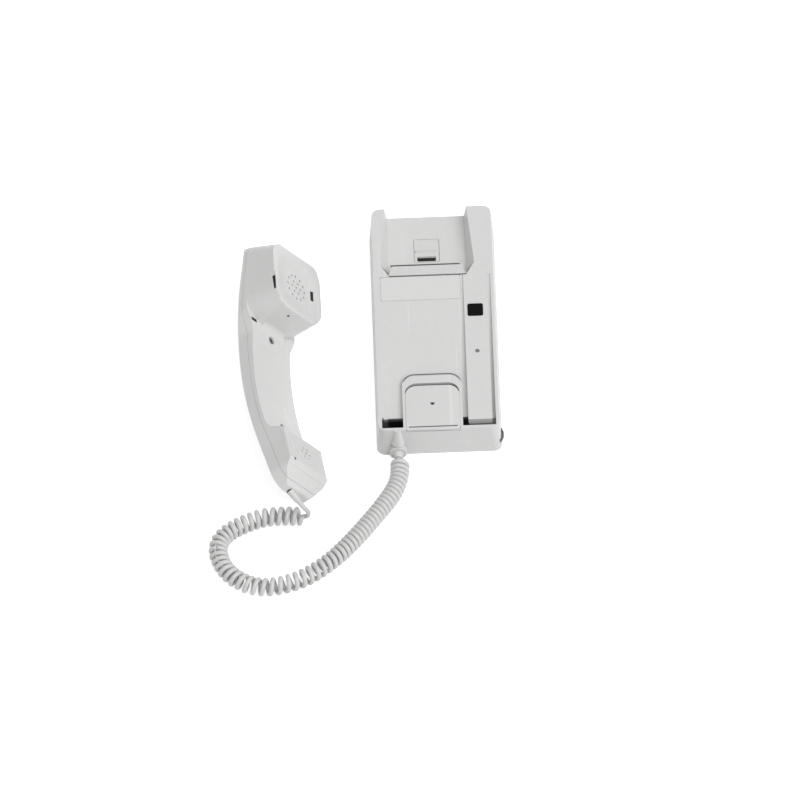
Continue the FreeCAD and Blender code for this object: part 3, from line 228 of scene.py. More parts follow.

# %% [markdown]
# ## The cord's route
# The cord leaves the base at its foot, runs on the table in one loop, and rises to the handset's
# end. Its middle line is one smooth curve through a few given control points, the same ones
# that the CAD solids follow. The spline type is NURBS, which cuts gently inside every corner.

# %% Middle line of the cord
coil_height = 7.0
base_tail = [(-29.0, -105.8, 6.5), (-29.0, -107.6, 6.5), (-28.15, -110.0, coil_height),
             (-28.15, -112.0, coil_height)]
coils = [(x, y, coil_height) for x, y in [
    (-28.15, -112.0), (-28.15, -121.5), (-33.5, -136.5), (-47.0, -155.5), (-62.0, -175.5), (-80.0, -195.0),
    (-102.0, -210.0), (-128.0, -215.0), (-148.5, -203.5), (-157.5, -184.5), (-154.5, -168.5),
    (-138.0, -157.8), (-118.0, -151.3), (-99.0, -153.5)]]
handset_tail = [(-99.0, -153.5, coil_height), (-94.2, -154.056, coil_height), (-92.6, -155.4, 13.0),
                (-93.6, -157.6, 19.0), (-96.48, -157.66, 23.99), (-99.49, -154.57, 26.445)]


def smooth_line(name, points, steps):
    """Points of the NURBS spline that has these control points, in metres."""
    curve = bpy.data.curves.new(name, "CURVE")
    curve.dimensions = "3D"
    curve.resolution_u = steps
    spline = curve.splines.new("NURBS")
    spline.points.add(len(points) - 1)
    for knot, place in zip(spline.points, points):
        knot.co = (place[0] * mm, place[1] * mm, place[2] * mm, 1.0)
    spline.order_u = 3
    spline.use_endpoint_u = True
    holder = bpy.data.objects.new(name, curve)
    bpy.context.scene.collection.objects.link(holder)
    line = bpy.data.meshes.new_from_object(holder)
    found = [v.co.copy() for v in line.vertices]
    bpy.data.objects.remove(holder)
    bpy.data.meshes.remove(line)
    return found


base_line = smooth_line("base_line", base_tail, 12)
coil_line = smooth_line("coil_line", coils, 40)
handset_line = smooth_line("handset_line", handset_tail, 12)


def line_length(points):
    """Length of a line of points, in metres."""
    return sum((b - a).length for a, b in zip(points, points[1:]))


print(f"coils cover {line_length(coil_line) / mm:.0f} mm of table")

# %% [markdown]
# ## The curls
# A curly cord is a straight cord wound on a rod and baked, so it is a helix whose turns nearly
# touch. Here the turns are packed near the base, open up on the far side of the loop and again
# near the handset, as a used cord's do. The wire's path is worked out from the middle line: at
# every small step along it the wire goes round by the share of a turn that the local pitch gives.
# It winds the left-handed way. At both ends the curl shrinks into the straight tail.

# %% How far apart the turns are
# Share of the coils' length from the base, and the distance in mm from turn to turn there
pitches = [(0.0, 4.2), (0.05, 3.7), (0.12, 3.5), (0.27, 3.6), (0.33, 4.0), (0.41, 5.2), (0.52, 5.8),
           (0.60, 5.2), (0.66, 4.6), (0.73, 4.4), (0.80, 4.5), (0.86, 5.0), (0.93, 5.6), (1.0, 4.8)]


def pitch_at(share):
    """Distance from turn to turn at this share of the coils' length, in metres."""
    for (a, low), (b, high) in zip(pitches, pitches[1:]):
        if share <= b:
            return (low + (high - low) * max(share - a, 0) / (b - a)) * mm
    return pitches[-1][1] * mm


print("turns are", min(low for _, low in pitches), "to", max(high for _, high in pitches), "mm apart")

# %% [markdown]
# The path is a walk along the middle line in tiny steps. Every step winds the wire a little
# further round, and a point is kept only after a set share of a turn, or after a longer run where
# the wire goes straight. A few slow waves make the curls a little uneven, as worn ones are.

# %% The wire's path
curl_r = 5.1 * mm
steps_per_turn = 22
walk_step = 0.04 * mm
longest_gap, shortest_gap = 0.6 * mm, 0.2 * mm
slowest_winding = 0.06
uneven_by = 0.05 * mm
wave_seed, wave_count, wave_stretch = 4, 3, 9


def ease(x):
    """A smooth rise from 0 to 1 while x goes from 0 to 1."""
    x = min(max(x, 0.0), 1.0)
    return x * x * (3 - 2 * x)


def place_on(line, lengths, run):
    """Point and direction a given way along a line."""
    i = min(max(bisect.bisect_right(lengths, run) - 1, 0), len(lengths) - 2)
    share = (run - lengths[i]) / (lengths[i + 1] - lengths[i])
    direction = (line[min(i + 2, len(line) - 1)] - line[max(i - 1, 0)]).normalized()
    return line[i].lerp(line[i + 1], share), direction


def curl_path(line, curl_from, curl_to, grow_run, shrink_run, start_turn):
    """The wire's own line: straight, then a helix round the middle line, then straight again."""
    lengths = [0.0]
    for a, b in zip(line, line[1:]):
        lengths.append(lengths[-1] + (b - a).length)
    a_hair = 1e-7
    seeded = random.Random(wave_seed)
    # Each wave starts somewhere in its turn and has a rate of its own
    waves = [(seeded.uniform(0, 6.28), seeded.uniform(0.7, 1.9)) for _ in range(wave_count)]
    up = Vector((0, 0, 1))
    found = []
    run, turn = 0.0, start_turn
    last_run, last_turn = -math.inf, -math.inf
    while run < lengths[-1]:
        ramp = min(ease((run - curl_from) / grow_run), ease((curl_to - run) / shrink_run))
        if ramp > 0:
            share = (run - curl_from) / (curl_to - curl_from)
            turn += 2 * math.pi * walk_step / pitch_at(share) * max(ramp, slowest_winding)
        run += walk_step
        if turn - last_turn > 2 * math.pi / steps_per_turn or run - last_run > longest_gap:
            last_turn, last_run = turn, run
            place, ahead = place_on(line, lengths, min(run, lengths[-1] - a_hair))
            side = ahead.cross(up).normalized()
            waviness = sum(math.sin(turn * rate / wave_stretch + start) for start, rate in waves)
            radius = (curl_r + waviness * uneven_by) * ramp
            found.append(place + up * math.cos(turn) * radius - side * math.sin(turn) * radius)
    kept = [line[0]]
    for place in found:
        if (place - kept[-1]).length > shortest_gap:
            kept.append(place)
    while (line[-1] - kept[-1]).length < shortest_gap:
        kept.pop()
    return kept + [line[-1]]


middle_line = base_line + coil_line[1:] + handset_line[1:]
base_run = line_length(base_line)
coil_run = line_length(base_line + coil_line[1:])
wire = curl_path(middle_line, curl_from=base_run - 4.8 * mm, curl_to=coil_run + 3.6 * mm,
                 grow_run=3.2 * mm, shrink_run=4.0 * mm, start_turn=math.radians(60))
print(f"the wire is {line_length(wire):.2f} m long")

# %% [markdown]
# ## The wire itself
# A tube is swept along the path. Each ring of the tube is turned as little as possible against
# the one before, so that the skin doesn't twist.

# %% Sweep a tube along a path
ring_sides = 12


def sweep(name, points, radius):
    """A smooth tube along these points, closed at both ends."""
    builder = bmesh.new()
    rings = []
    ahead = (points[1] - points[0]).normalized()
    side = ahead.orthogonal().normalized()
    for i, place in enumerate(points):
        before, after = points[max(i - 1, 0)], points[min(i + 1, len(points) - 1)]
        new_ahead = (after - before).normalized()
        side = ahead.rotation_difference(new_ahead) @ side
        side = (side - new_ahead * side.dot(new_ahead)).normalized()
        ahead = new_ahead
        other = ahead.cross(side)
        ring = []
        for k in range(ring_sides):
            angle = 2 * math.pi * k / ring_sides
            outwards = side * math.cos(angle) + other * math.sin(angle)
            ring.append(builder.verts.new(place + outwards * radius))
        rings.append(ring)
    for a, b in zip(rings, rings[1:]):
        for k in range(ring_sides):
            beside = (k + 1) % ring_sides
            builder.faces.new((a[k], a[beside], b[beside], b[k]))
    builder.faces.new(list(reversed(rings[0])))
    builder.faces.new(rings[-1])
    bmesh.ops.recalc_face_normals(builder, faces=builder.faces)
    mesh = bpy.data.meshes.new(name)
    builder.to_mesh(mesh)
    builder.free()
    piece = bpy.data.objects.new(name, mesh)
    bpy.context.scene.collection.objects.link(piece)
    for face in mesh.polygons:
        face.use_smooth = True
    return piece


# %% [markdown]
# The cord is made in two pieces that share one ring, at the far side of the loop: the first stays
# on the table, and the second runs on to the handset.

# %% The cord's two pieces
wire_r = 1.7 * mm
split_place = Vector((-156.5, -181.0, coil_height)) * mm


def off_split(i):
    """How far a point of the wire is from the split, seen from above."""
    return (wire[i] - split_place).xy.length


split = min(range(len(wire)), key=off_split)
lying_wire, lifting_wire = wire[:split + 1], wire[split:]
cord_lying = sweep("cord_lying", lying_wire, wire_r)
cord_lifting = sweep("cord_lifting", lifting_wire, wire_r)
for piece in (cord_lying, cord_lifting):
    print(piece.name, "has", len(piece.data.polygons), "faces")

# %% [markdown]
# ## Copies that stand for a piece
# A CAD piece's own mesh stays as it is. Where one needs a softer edge or a little more width, a copy
# of it is shaped instead and stands for it. The CAD meshes are loose triangles, so the copy's doubled
# corners are merged first.

# %% A welded copy
weld_gap = 0.002 * mm
crease_from = math.radians(28)


def copy_of(node, name, body):
    """An object with its own welded copy of a node's mesh, which stands for that node."""
    piece = bpy.data.objects.new(name, nodes[node].data.copy())
    bpy.context.scene.collection.objects.link(piece)
    only(piece)
    bpy.ops.object.mode_set(mode="EDIT")
    bpy.ops.mesh.select_all(action="SELECT")
    bpy.ops.mesh.remove_doubles(threshold=weld_gap)
    bpy.ops.object.mode_set(mode="OBJECT")
    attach(piece, body)
    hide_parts(node)
    return piece


# %% [markdown]
# ## Softened edges
# The CAD model's cap edges are sharp, and a moulded cap's are round. In the copy of each cap, flat
# faces are joined again, the edges round the cap's face get a bevel weight, and a Bevel modifier
# rounds only those. Choosing edges by weight keeps the sound holes crisp. The rim is let down a
# little, so that the seam under it is a hair line.

# %% Round a cap's edges
handset_origin = Vector((-94.378, -3.733, 42.218)) * mm
handset_turn = (0.0, math.radians(53.0), math.radians(5.2))
from_handset = Matrix.Translation(handset_origin) @ Euler(handset_turn).to_matrix().to_4x4()
to_handset = from_handset.inverted()
cap_thick = 3.2 * mm
seam_closed = 0.14 * mm
rim_within = 0.02 * mm
flat_within = math.radians(0.6)


def let_rim_down(piece, slope):
    """Move the corners of a cap's rim a hair towards the shell, to close most of the seam."""
    places = [to_handset @ corner.co for corner in piece.data.vertices]
    heights = [place.z - place.y * slope for place in places]
    rim = max(heights) - cap_thick
    for corner, height in zip(piece.data.vertices, heights):
        corner.select = abs(height - rim) < rim_within
    bpy.ops.object.mode_set(mode="EDIT")
    bpy.ops.transform.translate(value=from_handset.to_3x3() @ Vector((0, 0, -seam_closed)))
    bpy.ops.object.mode_set(mode="OBJECT")


def weigh_edges(piece, wanted):
    """Give the wanted edges their bevel weight, and count them."""
    weights = piece.data.attributes.new("bevel_weight_edge", "FLOAT", "EDGE")
    shape = bmesh.new()
    shape.from_mesh(piece.data)
    count = 0
    for edge in shape.edges:
        if len(edge.link_faces) == 2 and wanted(edge):
            weights.data[edge.index].value = 1.0
            count += 1
    shape.free()
    return count


def softened(name, node, width, slope, wanted):
    """A cap with the wanted edges rounded to this width, and its rim let down."""
    piece = copy_of(node, name, "handset")
    bpy.ops.object.mode_set(mode="EDIT")
    bpy.ops.mesh.dissolve_limited(angle_limit=flat_within)
    bpy.ops.mesh.customdata_custom_splitnormals_clear()
    bpy.ops.mesh.select_all(action="DESELECT")
    bpy.ops.object.mode_set(mode="OBJECT")
    let_rim_down(piece, slope)
    count = weigh_edges(piece, wanted)
    bpy.ops.object.shade_smooth_by_angle(angle=crease_from)
    bevel = piece.modifiers.new("round", "BEVEL")
    bevel.limit_method = "WEIGHT"
    bevel.width = width
    bevel.segments = 4
    bevel.use_clamp_overlap = False
    bevel.harden_normals = True
    bpy.ops.object.modifier_apply(modifier="round")
    print(name, "has", count, "rounded edges")
    return piece


# %% [markdown]
# An edge belongs to the rim of a cap's face when one of its two faces looks the way the cap's face
# does, the other looks well aside, and the edge is clear of the dish in the middle. The ear cap's
# far end and its notched side stay sharp.

# %% The two caps
faces_out, faces_aside = 0.985, 0.7
far_end = 46.0 * mm
notched_side, notched_from = -22.0 * mm, -0.5 * mm
ear_slope, mouth_slope = 4.4 / 51.0, -1.8 / 26.5


def round_the_face(slope, middle, keep_out):
    """A test for the edges to round, all outside a circle on the cap's face."""
    tilt = math.atan(slope)
    face_way = Vector((0, -math.sin(tilt), math.cos(tilt)))

    def wanted(edge):
        ways = sorted((to_handset.to_3x3() @ face.normal).dot(face_way) for face in edge.link_faces)
        place = to_handset @ ((edge.verts[0].co + edge.verts[1].co) / 2)
        on_rim = ways[1] > faces_out and ways[0] < faces_aside
        off_dish = math.hypot(place.x, place.y - middle) > keep_out
        kept_sharp = place.y > far_end or (place.x < notched_side and place.y > notched_from)
        return on_rim and off_dish and not kept_sharp
    return wanted


ear_cap = softened("ear_cap_round", "ear_cap", 1.5 * mm, ear_slope,
                   round_the_face(ear_slope, middle=23.5 * mm, keep_out=23.2 * mm))
mouth_cap = softened("mouth_cap_round", "mouth_cap", 1.1 * mm, mouth_slope,
                     round_the_face(mouth_slope, middle=-115.8 * mm, keep_out=7.0 * mm))

# %% [markdown]
# ## The paddle
# The real paddle fills its window from side to side, and only its head and foot show a line. The
# CAD plate keeps more room at its sides, so its copy is widened by a few tenths of a millimetre
# at each side, round its own middle, and still clears the window.

# %% The widened paddle
paddle_low, paddle_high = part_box("hook_paddle")
paddle_middle = (Vector(paddle_low) + Vector(paddle_high)) / 2
paddle_half, window_half = 18.5 * mm, 18.95 * mm
side_gap = 0.06 * mm
wider = (window_half - side_gap) / paddle_half
paddle = copy_of("hook_paddle", "paddle_plate", "paddle")
bpy.ops.object.mode_set(mode="EDIT")
bpy.ops.transform.resize(value=(wider, 1, 1), center_override=paddle_middle)
bpy.ops.object.mode_set(mode="OBJECT")
bpy.ops.object.shade_smooth_by_angle(angle=crease_from)
print(f"the paddle is {paddle.dimensions.x / mm:.2f} mm wide")

# %% [markdown]
# ## The button's spring
# A rigid spring would stick through the call button when it goes in. Here the spring is a welded
# copy of the CAD spring with a mesh of its own, and it keeps the CAD shape.

# %% The spring under the button
spring = copy_of("button_spring", "button_spring_soft", "base")
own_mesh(spring)

# %% [markdown]
# ## Effects that several finishes share
# A moulded shell is never one flat colour. Its tone drifts a little from place to place, its skin
# has a fine pebble that breaks up the gloss, and years of hands and cloths leave faint scuffs. Each
# of these effects is a small node group, made once and used by every material that needs it, with
# its own size and strength. All of them read the object's own coordinates, which are the phone's
# real sizes, so nothing has to be unwrapped.

# %% Helpers for node groups
def new_group(name, inputs, output, kind):
    """A shader node group with float, colour or vector inputs and one output."""
    tree = bpy.data.node_groups.new(name, "ShaderNodeTree")
    for label, value in inputs.items():
        if isinstance(value, tuple):
            sort = "Color" if len(value) == 4 else "Vector"
        else:
            sort = "Float"
        socket = tree.interface.new_socket(label, in_out="INPUT", socket_type="NodeSocket" + sort)
        socket.default_value = value
    tree.interface.new_socket(output, in_out="OUTPUT", socket_type="NodeSocket" + kind)
    return tree, tree.nodes.new("NodeGroupInput").outputs, tree.nodes.new("NodeGroupOutput").inputs[0]


def use_group(tree, group, **values):
    """Place a group in a material, with its values on its sockets."""
    node = tree.nodes.new("ShaderNodeGroup")
    node.node_tree = group
    for name, value in values.items():
        node.inputs[name.replace("_", " ")].default_value = value
    return node


# %% [markdown]
# **Drifting tone** scales a colour by two layers of soft noise, one broad and one fine. A noise
# texture bunches near its middle, so a Map Range node stretches it first.

# %% Drifting tone
times_finer = 11.0
drift, given, out = new_group("drifting tone", {"Tone": (0.7, 0.7, 0.7, 1), "Depth": 0.04, "Size": 20.0},
                              "Color", "Color")
where = add(drift, "TexCoord")
broad = add(drift, "TexNoise", Detail=2.0)
fine = add(drift, "TexNoise", Detail=4.0)
finer = add(drift, "Math", operation="MULTIPLY")
finer.inputs[1].default_value = times_finer
both_noises = add(drift, "Math", operation="ADD")
spread = add(drift, "MapRange")
spread.inputs["From Min"].default_value = 0.72
spread.inputs["From Max"].default_value = 1.28
lowest = add(drift, "Math", operation="SUBTRACT")
lowest.inputs[0].default_value = 1.0
scaled = add(drift, "VectorMath", operation="SCALE")
wire_up(drift, (where.outputs["Object"], broad.inputs["Vector"]),
        (where.outputs["Object"], fine.inputs["Vector"]),
        (given["Size"], broad.inputs["Scale"]), (given["Size"], finer.inputs[0]),
        (finer.outputs[0], fine.inputs["Scale"]), (broad.outputs[0], both_noises.inputs[0]),
        (fine.outputs[0], both_noises.inputs[1]), (both_noises.outputs[0], spread.inputs["Value"]),
        (given["Depth"], lowest.inputs[1]), (lowest.outputs[0], spread.inputs["To Min"]),
        (given["Tone"], scaled.inputs[0]), (spread.outputs[0], scaled.inputs["Scale"]),
        (scaled.outputs[0], out))
print("drifting tone has", len(drift.nodes), "nodes")

# %% [markdown]
# **Moulded skin** is the fine pebble of a satin moulding: a small, smooth noise turned into a
# normal by a Bump node, only hundredths of a millimetre high.

# %% Moulded skin
skin, given, out = new_group("moulded skin", {"Size": 900.0, "Height": 0.00004}, "Normal", "Vector")
where = add(skin, "TexCoord")
pebble = add(skin, "TexNoise", Detail=2.0)
bump = add(skin, "Bump", Strength=1.0)
wire_up(skin, (where.outputs["Object"], pebble.inputs["Vector"]),
        (given["Size"], pebble.inputs["Scale"]), (given["Height"], bump.inputs["Distance"]),
        (pebble.outputs[0], bump.inputs["Height"]), (bump.outputs[0], out))
print("moulded skin has", len(skin.nodes), "nodes")

# %% [markdown]
# **Rubbed gloss** varies the roughness, so that a highlight breaks where hands have polished the
# surface.

# %% Rubbed gloss
gloss, given, out = new_group("rubbed gloss", {"Smooth": 0.35, "Rough": 0.5, "Size": 45.0},
                              "Roughness", "Float")
where = add(gloss, "TexCoord")
patches = add(gloss, "TexNoise", Detail=3.0)
spread = add(gloss, "MapRange")
spread.inputs["From Min"].default_value = 0.35
spread.inputs["From Max"].default_value = 0.65
wire_up(gloss, (where.outputs["Object"], patches.inputs["Vector"]),
        (given["Size"], patches.inputs["Scale"]), (patches.outputs[0], spread.inputs["Value"]),
        (given["Smooth"], spread.inputs["To Min"]), (given["Rough"], spread.inputs["To Max"]),
        (spread.outputs[0], out))
print("rubbed gloss has", len(gloss.nodes), "nodes")

# %% [markdown]
# **Fine scuffs** are short scratches. A noise squeezed to a fiftieth of its length along one
# direction gives streaks, and a high threshold keeps only the few brightest.

# %% Fine scuffs
scuffs, given, out = new_group("fine scuffs", {"Size": 300.0, "Amount": 0.3, "Turn": (0.0, 0.0, 0.5)},
                               "Mask", "Float")
where = add(scuffs, "TexCoord")
squeeze = add(scuffs, "Mapping")
squeeze.inputs["Scale"].default_value = (1.0, 0.02, 1.0)
streaks = add(scuffs, "TexNoise", Detail=1.0)
few = add(scuffs, "MapRange")
few.inputs["From Min"].default_value = 0.66
few.inputs["From Max"].default_value = 0.74
wire_up(scuffs, (where.outputs["Object"], squeeze.inputs["Vector"]),
        (given["Turn"], squeeze.inputs["Rotation"]), (squeeze.outputs[0], streaks.inputs["Vector"]),
        (given["Size"], streaks.inputs["Scale"]), (streaks.outputs[0], few.inputs["Value"]),
        (given["Amount"], few.inputs["To Max"]), (few.outputs[0], out))
print("fine scuffs has", len(scuffs.nodes), "nodes")

# %% [markdown]
# **Brushed** uses the same squeezed noise as a bump, for drawn wire and turned or ground metal.

# %% Brushed metal
brushed, given, out = new_group("brushed", {"Size": 2500.0, "Height": 0.00002}, "Normal", "Vector")
where = add(brushed, "TexCoord")
squeeze = add(brushed, "Mapping")
squeeze.inputs["Scale"].default_value = (1.0, 1.0, 0.02)
streaks = add(brushed, "TexNoise", Detail=2.0)
bump = add(brushed, "Bump", Strength=1.0)
wire_up(brushed, (where.outputs["Object"], squeeze.inputs["Vector"]),
        (squeeze.outputs[0], streaks.inputs["Vector"]), (given["Size"], streaks.inputs["Scale"]),
        (streaks.outputs[0], bump.inputs["Height"]), (given["Height"], bump.inputs["Distance"]),
        (bump.outputs[0], out))
print("brushed has", len(brushed.nodes), "nodes")

# %% [markdown]
# ** Painted shade in a box** darkens the colour of the deep, narrow places where shade falls, such as
# slots and creases: everything inside a box of the phone's own space, with a soft edge. The distance
# to a box is the largest of the three distances to its sides. For the handset, which lies tilted, the
# coordinates are first turned back into the handset's own directions.

# %% Painted shade in a box
# This mask marks where shade is painted into a colour.
painted_shade, given, out = new_group("grime in a box",
                              {"Place": (0.0, 0.0, 0.0), "Middle": (0.0, 0.0, 0.0),
                               "Half Size": (0.001, 0.001, 0.001), "Soft": 0.0005}, "Mask", "Float")
apart = add(painted_shade, "VectorMath", operation="SUBTRACT")
folded = add(painted_shade, "VectorMath", operation="ABSOLUTE")
beyond = add(painted_shade, "VectorMath", operation="SUBTRACT")
parts = add(painted_shade, "SeparateXYZ")
widest = add(painted_shade, "Math", operation="MAXIMUM")
widest_too = add(painted_shade, "Math", operation="MAXIMUM")
fade = add(painted_shade, "MapRange", interpolation_type="SMOOTHSTEP")
fade.inputs["To Min"].default_value = 1.0
fade.inputs["To Max"].default_value = 0.0
wire_up(painted_shade, (given["Place"], apart.inputs[0]), (given["Middle"], apart.inputs[1]),
        (apart.outputs[0], folded.inputs[0]), (folded.outputs[0], beyond.inputs[0]),
        (given["Half Size"], beyond.inputs[1]), (beyond.outputs[0], parts.inputs[0]),
        (parts.outputs[0], widest.inputs[0]), (parts.outputs[1], widest.inputs[1]),
        (widest.outputs[0], widest_too.inputs[0]), (parts.outputs[2], widest_too.inputs[1]),
        (widest_too.outputs[0], fade.inputs["Value"]), (given["Soft"], fade.inputs["From Max"]),
        (fade.outputs[0], out))
print("grime in a box has", len(painted_shade.nodes), "nodes")

# %% [markdown]
# ** Painted shade along an arch** darkens a thin line, a painted shadow, that follows the rounded top of
# the frame round the paddle. The line is where the distance from the arch's corner circles equals their
# radius, and it fades out below, where the frame's sides begin.

# %% Painted shade along an arch
fades_over = 6 * mm
# This mask marks a thin line where a shadow is painted into a colour.
arch, given, out = new_group("grime along an arch",
                             {"Place": (0.0, 0.0, 0.0), "Middle": (0.0, 0.0, 0.0),
                              "Straight": (0.01, 0.0, 0.0), "Radius": 0.009, "Soft": 0.0005},
                             "Mask", "Float")
apart = add(arch, "VectorMath", operation="SUBTRACT")
parts = add(arch, "SeparateXYZ")
across = add(arch, "Math", operation="ABSOLUTE")
folded = add(arch, "CombineXYZ")
past = add(arch, "VectorMath", operation="SUBTRACT")
outside = add(arch, "VectorMath", operation="MAXIMUM")
outside.inputs[1].default_value = (0.0, 0.0, 0.0)
distance_out = add(arch, "VectorMath", operation="LENGTH")
off_line = add(arch, "Math", operation="SUBTRACT")
off_line_size = add(arch, "Math", operation="ABSOLUTE")
fade = add(arch, "MapRange", interpolation_type="SMOOTHSTEP")
fade.inputs["To Min"].default_value = 1.0
fade.inputs["To Max"].default_value = 0.0
upper = add(arch, "MapRange", interpolation_type="SMOOTHSTEP")
upper.inputs["From Max"].default_value = fades_over
both_masks = add(arch, "Math", operation="MULTIPLY")
wire_up(arch, (given["Place"], apart.inputs[0]), (given["Middle"], apart.inputs[1]),
        (apart.outputs[0], parts.inputs[0]), (parts.outputs[0], across.inputs[0]),
        (across.outputs[0], folded.inputs[0]), (parts.outputs[1], folded.inputs[1]),
        (folded.outputs[0], past.inputs[0]), (given["Straight"], past.inputs[1]),
        (past.outputs[0], outside.inputs[0]), (outside.outputs[0], distance_out.inputs[0]),
        (distance_out.outputs["Value"], off_line.inputs[0]),
        (given["Radius"], off_line.inputs[1]), (off_line.outputs[0], off_line_size.inputs[0]),
        (off_line_size.outputs[0], fade.inputs["Value"]),
        (given["Soft"], fade.inputs["From Max"]), (parts.outputs[1], upper.inputs["Value"]),
        (fade.outputs[0], both_masks.inputs[0]), (upper.outputs[0], both_masks.inputs[1]),
        (both_masks.outputs[0], out))
print("grime along an arch has", len(arch.nodes), "nodes")

# %% [markdown]
# ## Building a finish
# Every finish is one Principled shader fed by those effects. What is the same all over the piece,
# such as metalness or clear coat, is set straight on the shader. A list of shaded places paints
# shade into the colour where the piece has deep slots, creases or holes. A finish is kept under the
# name of the slot that it belongs to.

# %% One builder for all finishes
finishes = {}


def tinted(tree, colour, mask, tone):
    """The colour, mixed with another tone as far as the mask is white."""
    mix = add(tree, "Mix", data_type="RGBA")
    mix.inputs[7].default_value = (*tone, 1)
    wire_up(tree, (mask, mix.inputs[0]), (colour, mix.inputs[6]))
    return mix.outputs[2]


def finish(name, tone, smooth, rough, depth=0.03, drift_size=20.0, skin_size=900.0,
           skin_height=0.00004, scuffed=0.0, shaded=(), arches=(), in_handset=False,
           brushed_metal=False, **shader_values):
    """Build a finish. Its roughness goes from smooth to rough. In mm, shaded lists the boxes of painted
    shade (lowest corner, highest corner, soft edge, tone), and arches lists the lines of painted shade
    (middle, half the straight run, radius, soft edge, tone)."""
    material, tree = new_material(name)
    shader = add(tree, "BsdfPrincipled")
    for label, value in shader_values.items():
        shader.inputs[label.replace("_", " ")].default_value = value
    colour = use_group(tree, drift, Tone=(*tone, 1), Depth=depth, Size=drift_size).outputs[0]
    if scuffed:
        mask = use_group(tree, scuffs, Amount=scuffed)
        colour = tinted(tree, colour, mask.outputs[0], [min(1.0, c * 1.12 + 0.02) for c in tone])
    place = add(tree, "TexCoord").outputs["Object"] if shaded or arches else None
    if in_handset:
        turned = add(tree, "Mapping", vector_type="TEXTURE")
        turned.inputs["Location"].default_value = handset_origin
        turned.inputs["Rotation"].default_value = handset_turn
        wire_up(tree, (place, turned.inputs["Vector"]))
        place = turned.outputs[0]
    # Each box and each arch paints shade into the colour.
    for low, high, soft, dark in shaded:
        low, high = Vector(low) * mm, Vector(high) * mm
        mask = use_group(tree, painted_shade, Middle=(low + high) / 2, Half_Size=(high - low) / 2, Soft=soft * mm)
        wire_up(tree, (place, mask.inputs["Place"]))
        colour = tinted(tree, colour, mask.outputs[0], (dark, dark, dark))
    for middle, straight, radius, soft, dark in arches:
        mask = use_group(tree, arch, Middle=Vector(middle) * mm, Straight=Vector((straight, 0, 0)) * mm,
                         Radius=radius * mm, Soft=soft * mm)
        wire_up(tree, (place, mask.inputs["Place"]))
        colour = tinted(tree, colour, mask.outputs[0], (dark, dark, dark))
    shine = use_group(tree, gloss, Smooth=smooth, Rough=rough)
    relief = use_group(tree, brushed if brushed_metal else skin, Size=skin_size, Height=skin_height)
    wire_up(tree, (colour, shader.inputs["Base Color"]), (shine.outputs[0], shader.inputs["Roughness"]),
            (relief.outputs[0], shader.inputs["Normal"]),
            (shader.outputs[0], tree.nodes["Material Output"].inputs["Surface"]))
    finishes[name] = material


# %% [markdown]
# ## Where the shade is painted
# The colour is painted darker where shade falls in the deep places: the slot under the hanging tab,
# the foot of the ear pocket, the head of the sunk panel, the two ends of the trough, the foot and the
# dot of the paddle, the notches in the ear cap and a few small openings. Each is a box with its lowest
# and highest corner, a soft edge and a tone. The boxes of the handset are in its own directions. The
# painted shadow line of the arch over the paddle has its middle, half its straight run, its radius, a
# soft edge and a tone.

# %% Places of painted shade, in mm
# Each of these is a place where shade is painted into the colour.
tab_slot_shade = ((-10.6, 58.6, 13.0), (2.0, 62.0, 24.0), 0.3, 0.004)
pocket_foot_shade = ((-29.5, 54.4, 16.0), (18.5, 55.5, 18.0), 0.6, 0.06)
panel_head_shade = ((-31.0, 37.2, 25.0), (23.2, 38.0, 28.5), 0.35, 0.22)
trough_end_shades = [((-40.0, -92.6, 13.0), (-24.6, -84.6, 25.0), 1.2, 0.10),
               ((-34.5, -92.6, 13.0), (-24.6, -84.6, 23.0), 2.0, 0.006),
               ((16.8, -92.8, 13.0), (20.8, -84.6, 24.0), 0.8, 0.02),
               ((21.5, -93.0, 13.0), (40.0, -88.6, 17.0), 0.8, 0.25)]
base_shade_boxes = [tab_slot_shade, pocket_foot_shade, panel_head_shade, *trough_end_shades]
cap_notch_shade = [((-27.2, 0.8, -0.7), (-25.9, 20.5, 3.0), 0.3, 0.004),
               ((16.3, 21.2, -1.5), (18.6, 28.6, 4.5), 0.5, 0.004)]
opening_shade = [((-22.8, -2.0, -26.9), (-17.6, 0.3, -24.6), 0.5, 0.004),
                  ((-5.2, -0.6, -7.3), (-3.9, 0.8, -6.0), 0.5, 0.05),
                  ((-16.0, -129.1, -12.5), (-14.8, -127.9, -10.0), 0.5, 0.01)]
handset_shade_boxes = cap_notch_shade + opening_shade
paddle_foot_shade = ((-20.6, -94.8, 24.0), (12.8, -94.4, 40.0), 0.5, 0.08)
paddle_dot_shade = ((-4.9, -74.9, 25.0), (-3.1, -74.1, 40.0), 0.9, 0.1)
frame_arch_shade = ((-4.0, -57.3, 0.0), 11.85, 8.7, 1.5, 0.08)
print(len(base_shade_boxes), "grimy places on the base and", len(handset_shade_boxes), "on the handset")

# %% [markdown]
# ## The phone's own finishes
# The shells, the paddle, the boots and the cord are the same pale satin plastic, a hair apart in
# tone and gloss. The call button is black, the thumbwheel is dark, and the label plate has a clear
# coat.

# %% Finishes of the outside
shell_tone = (0.70, 0.70, 0.695)
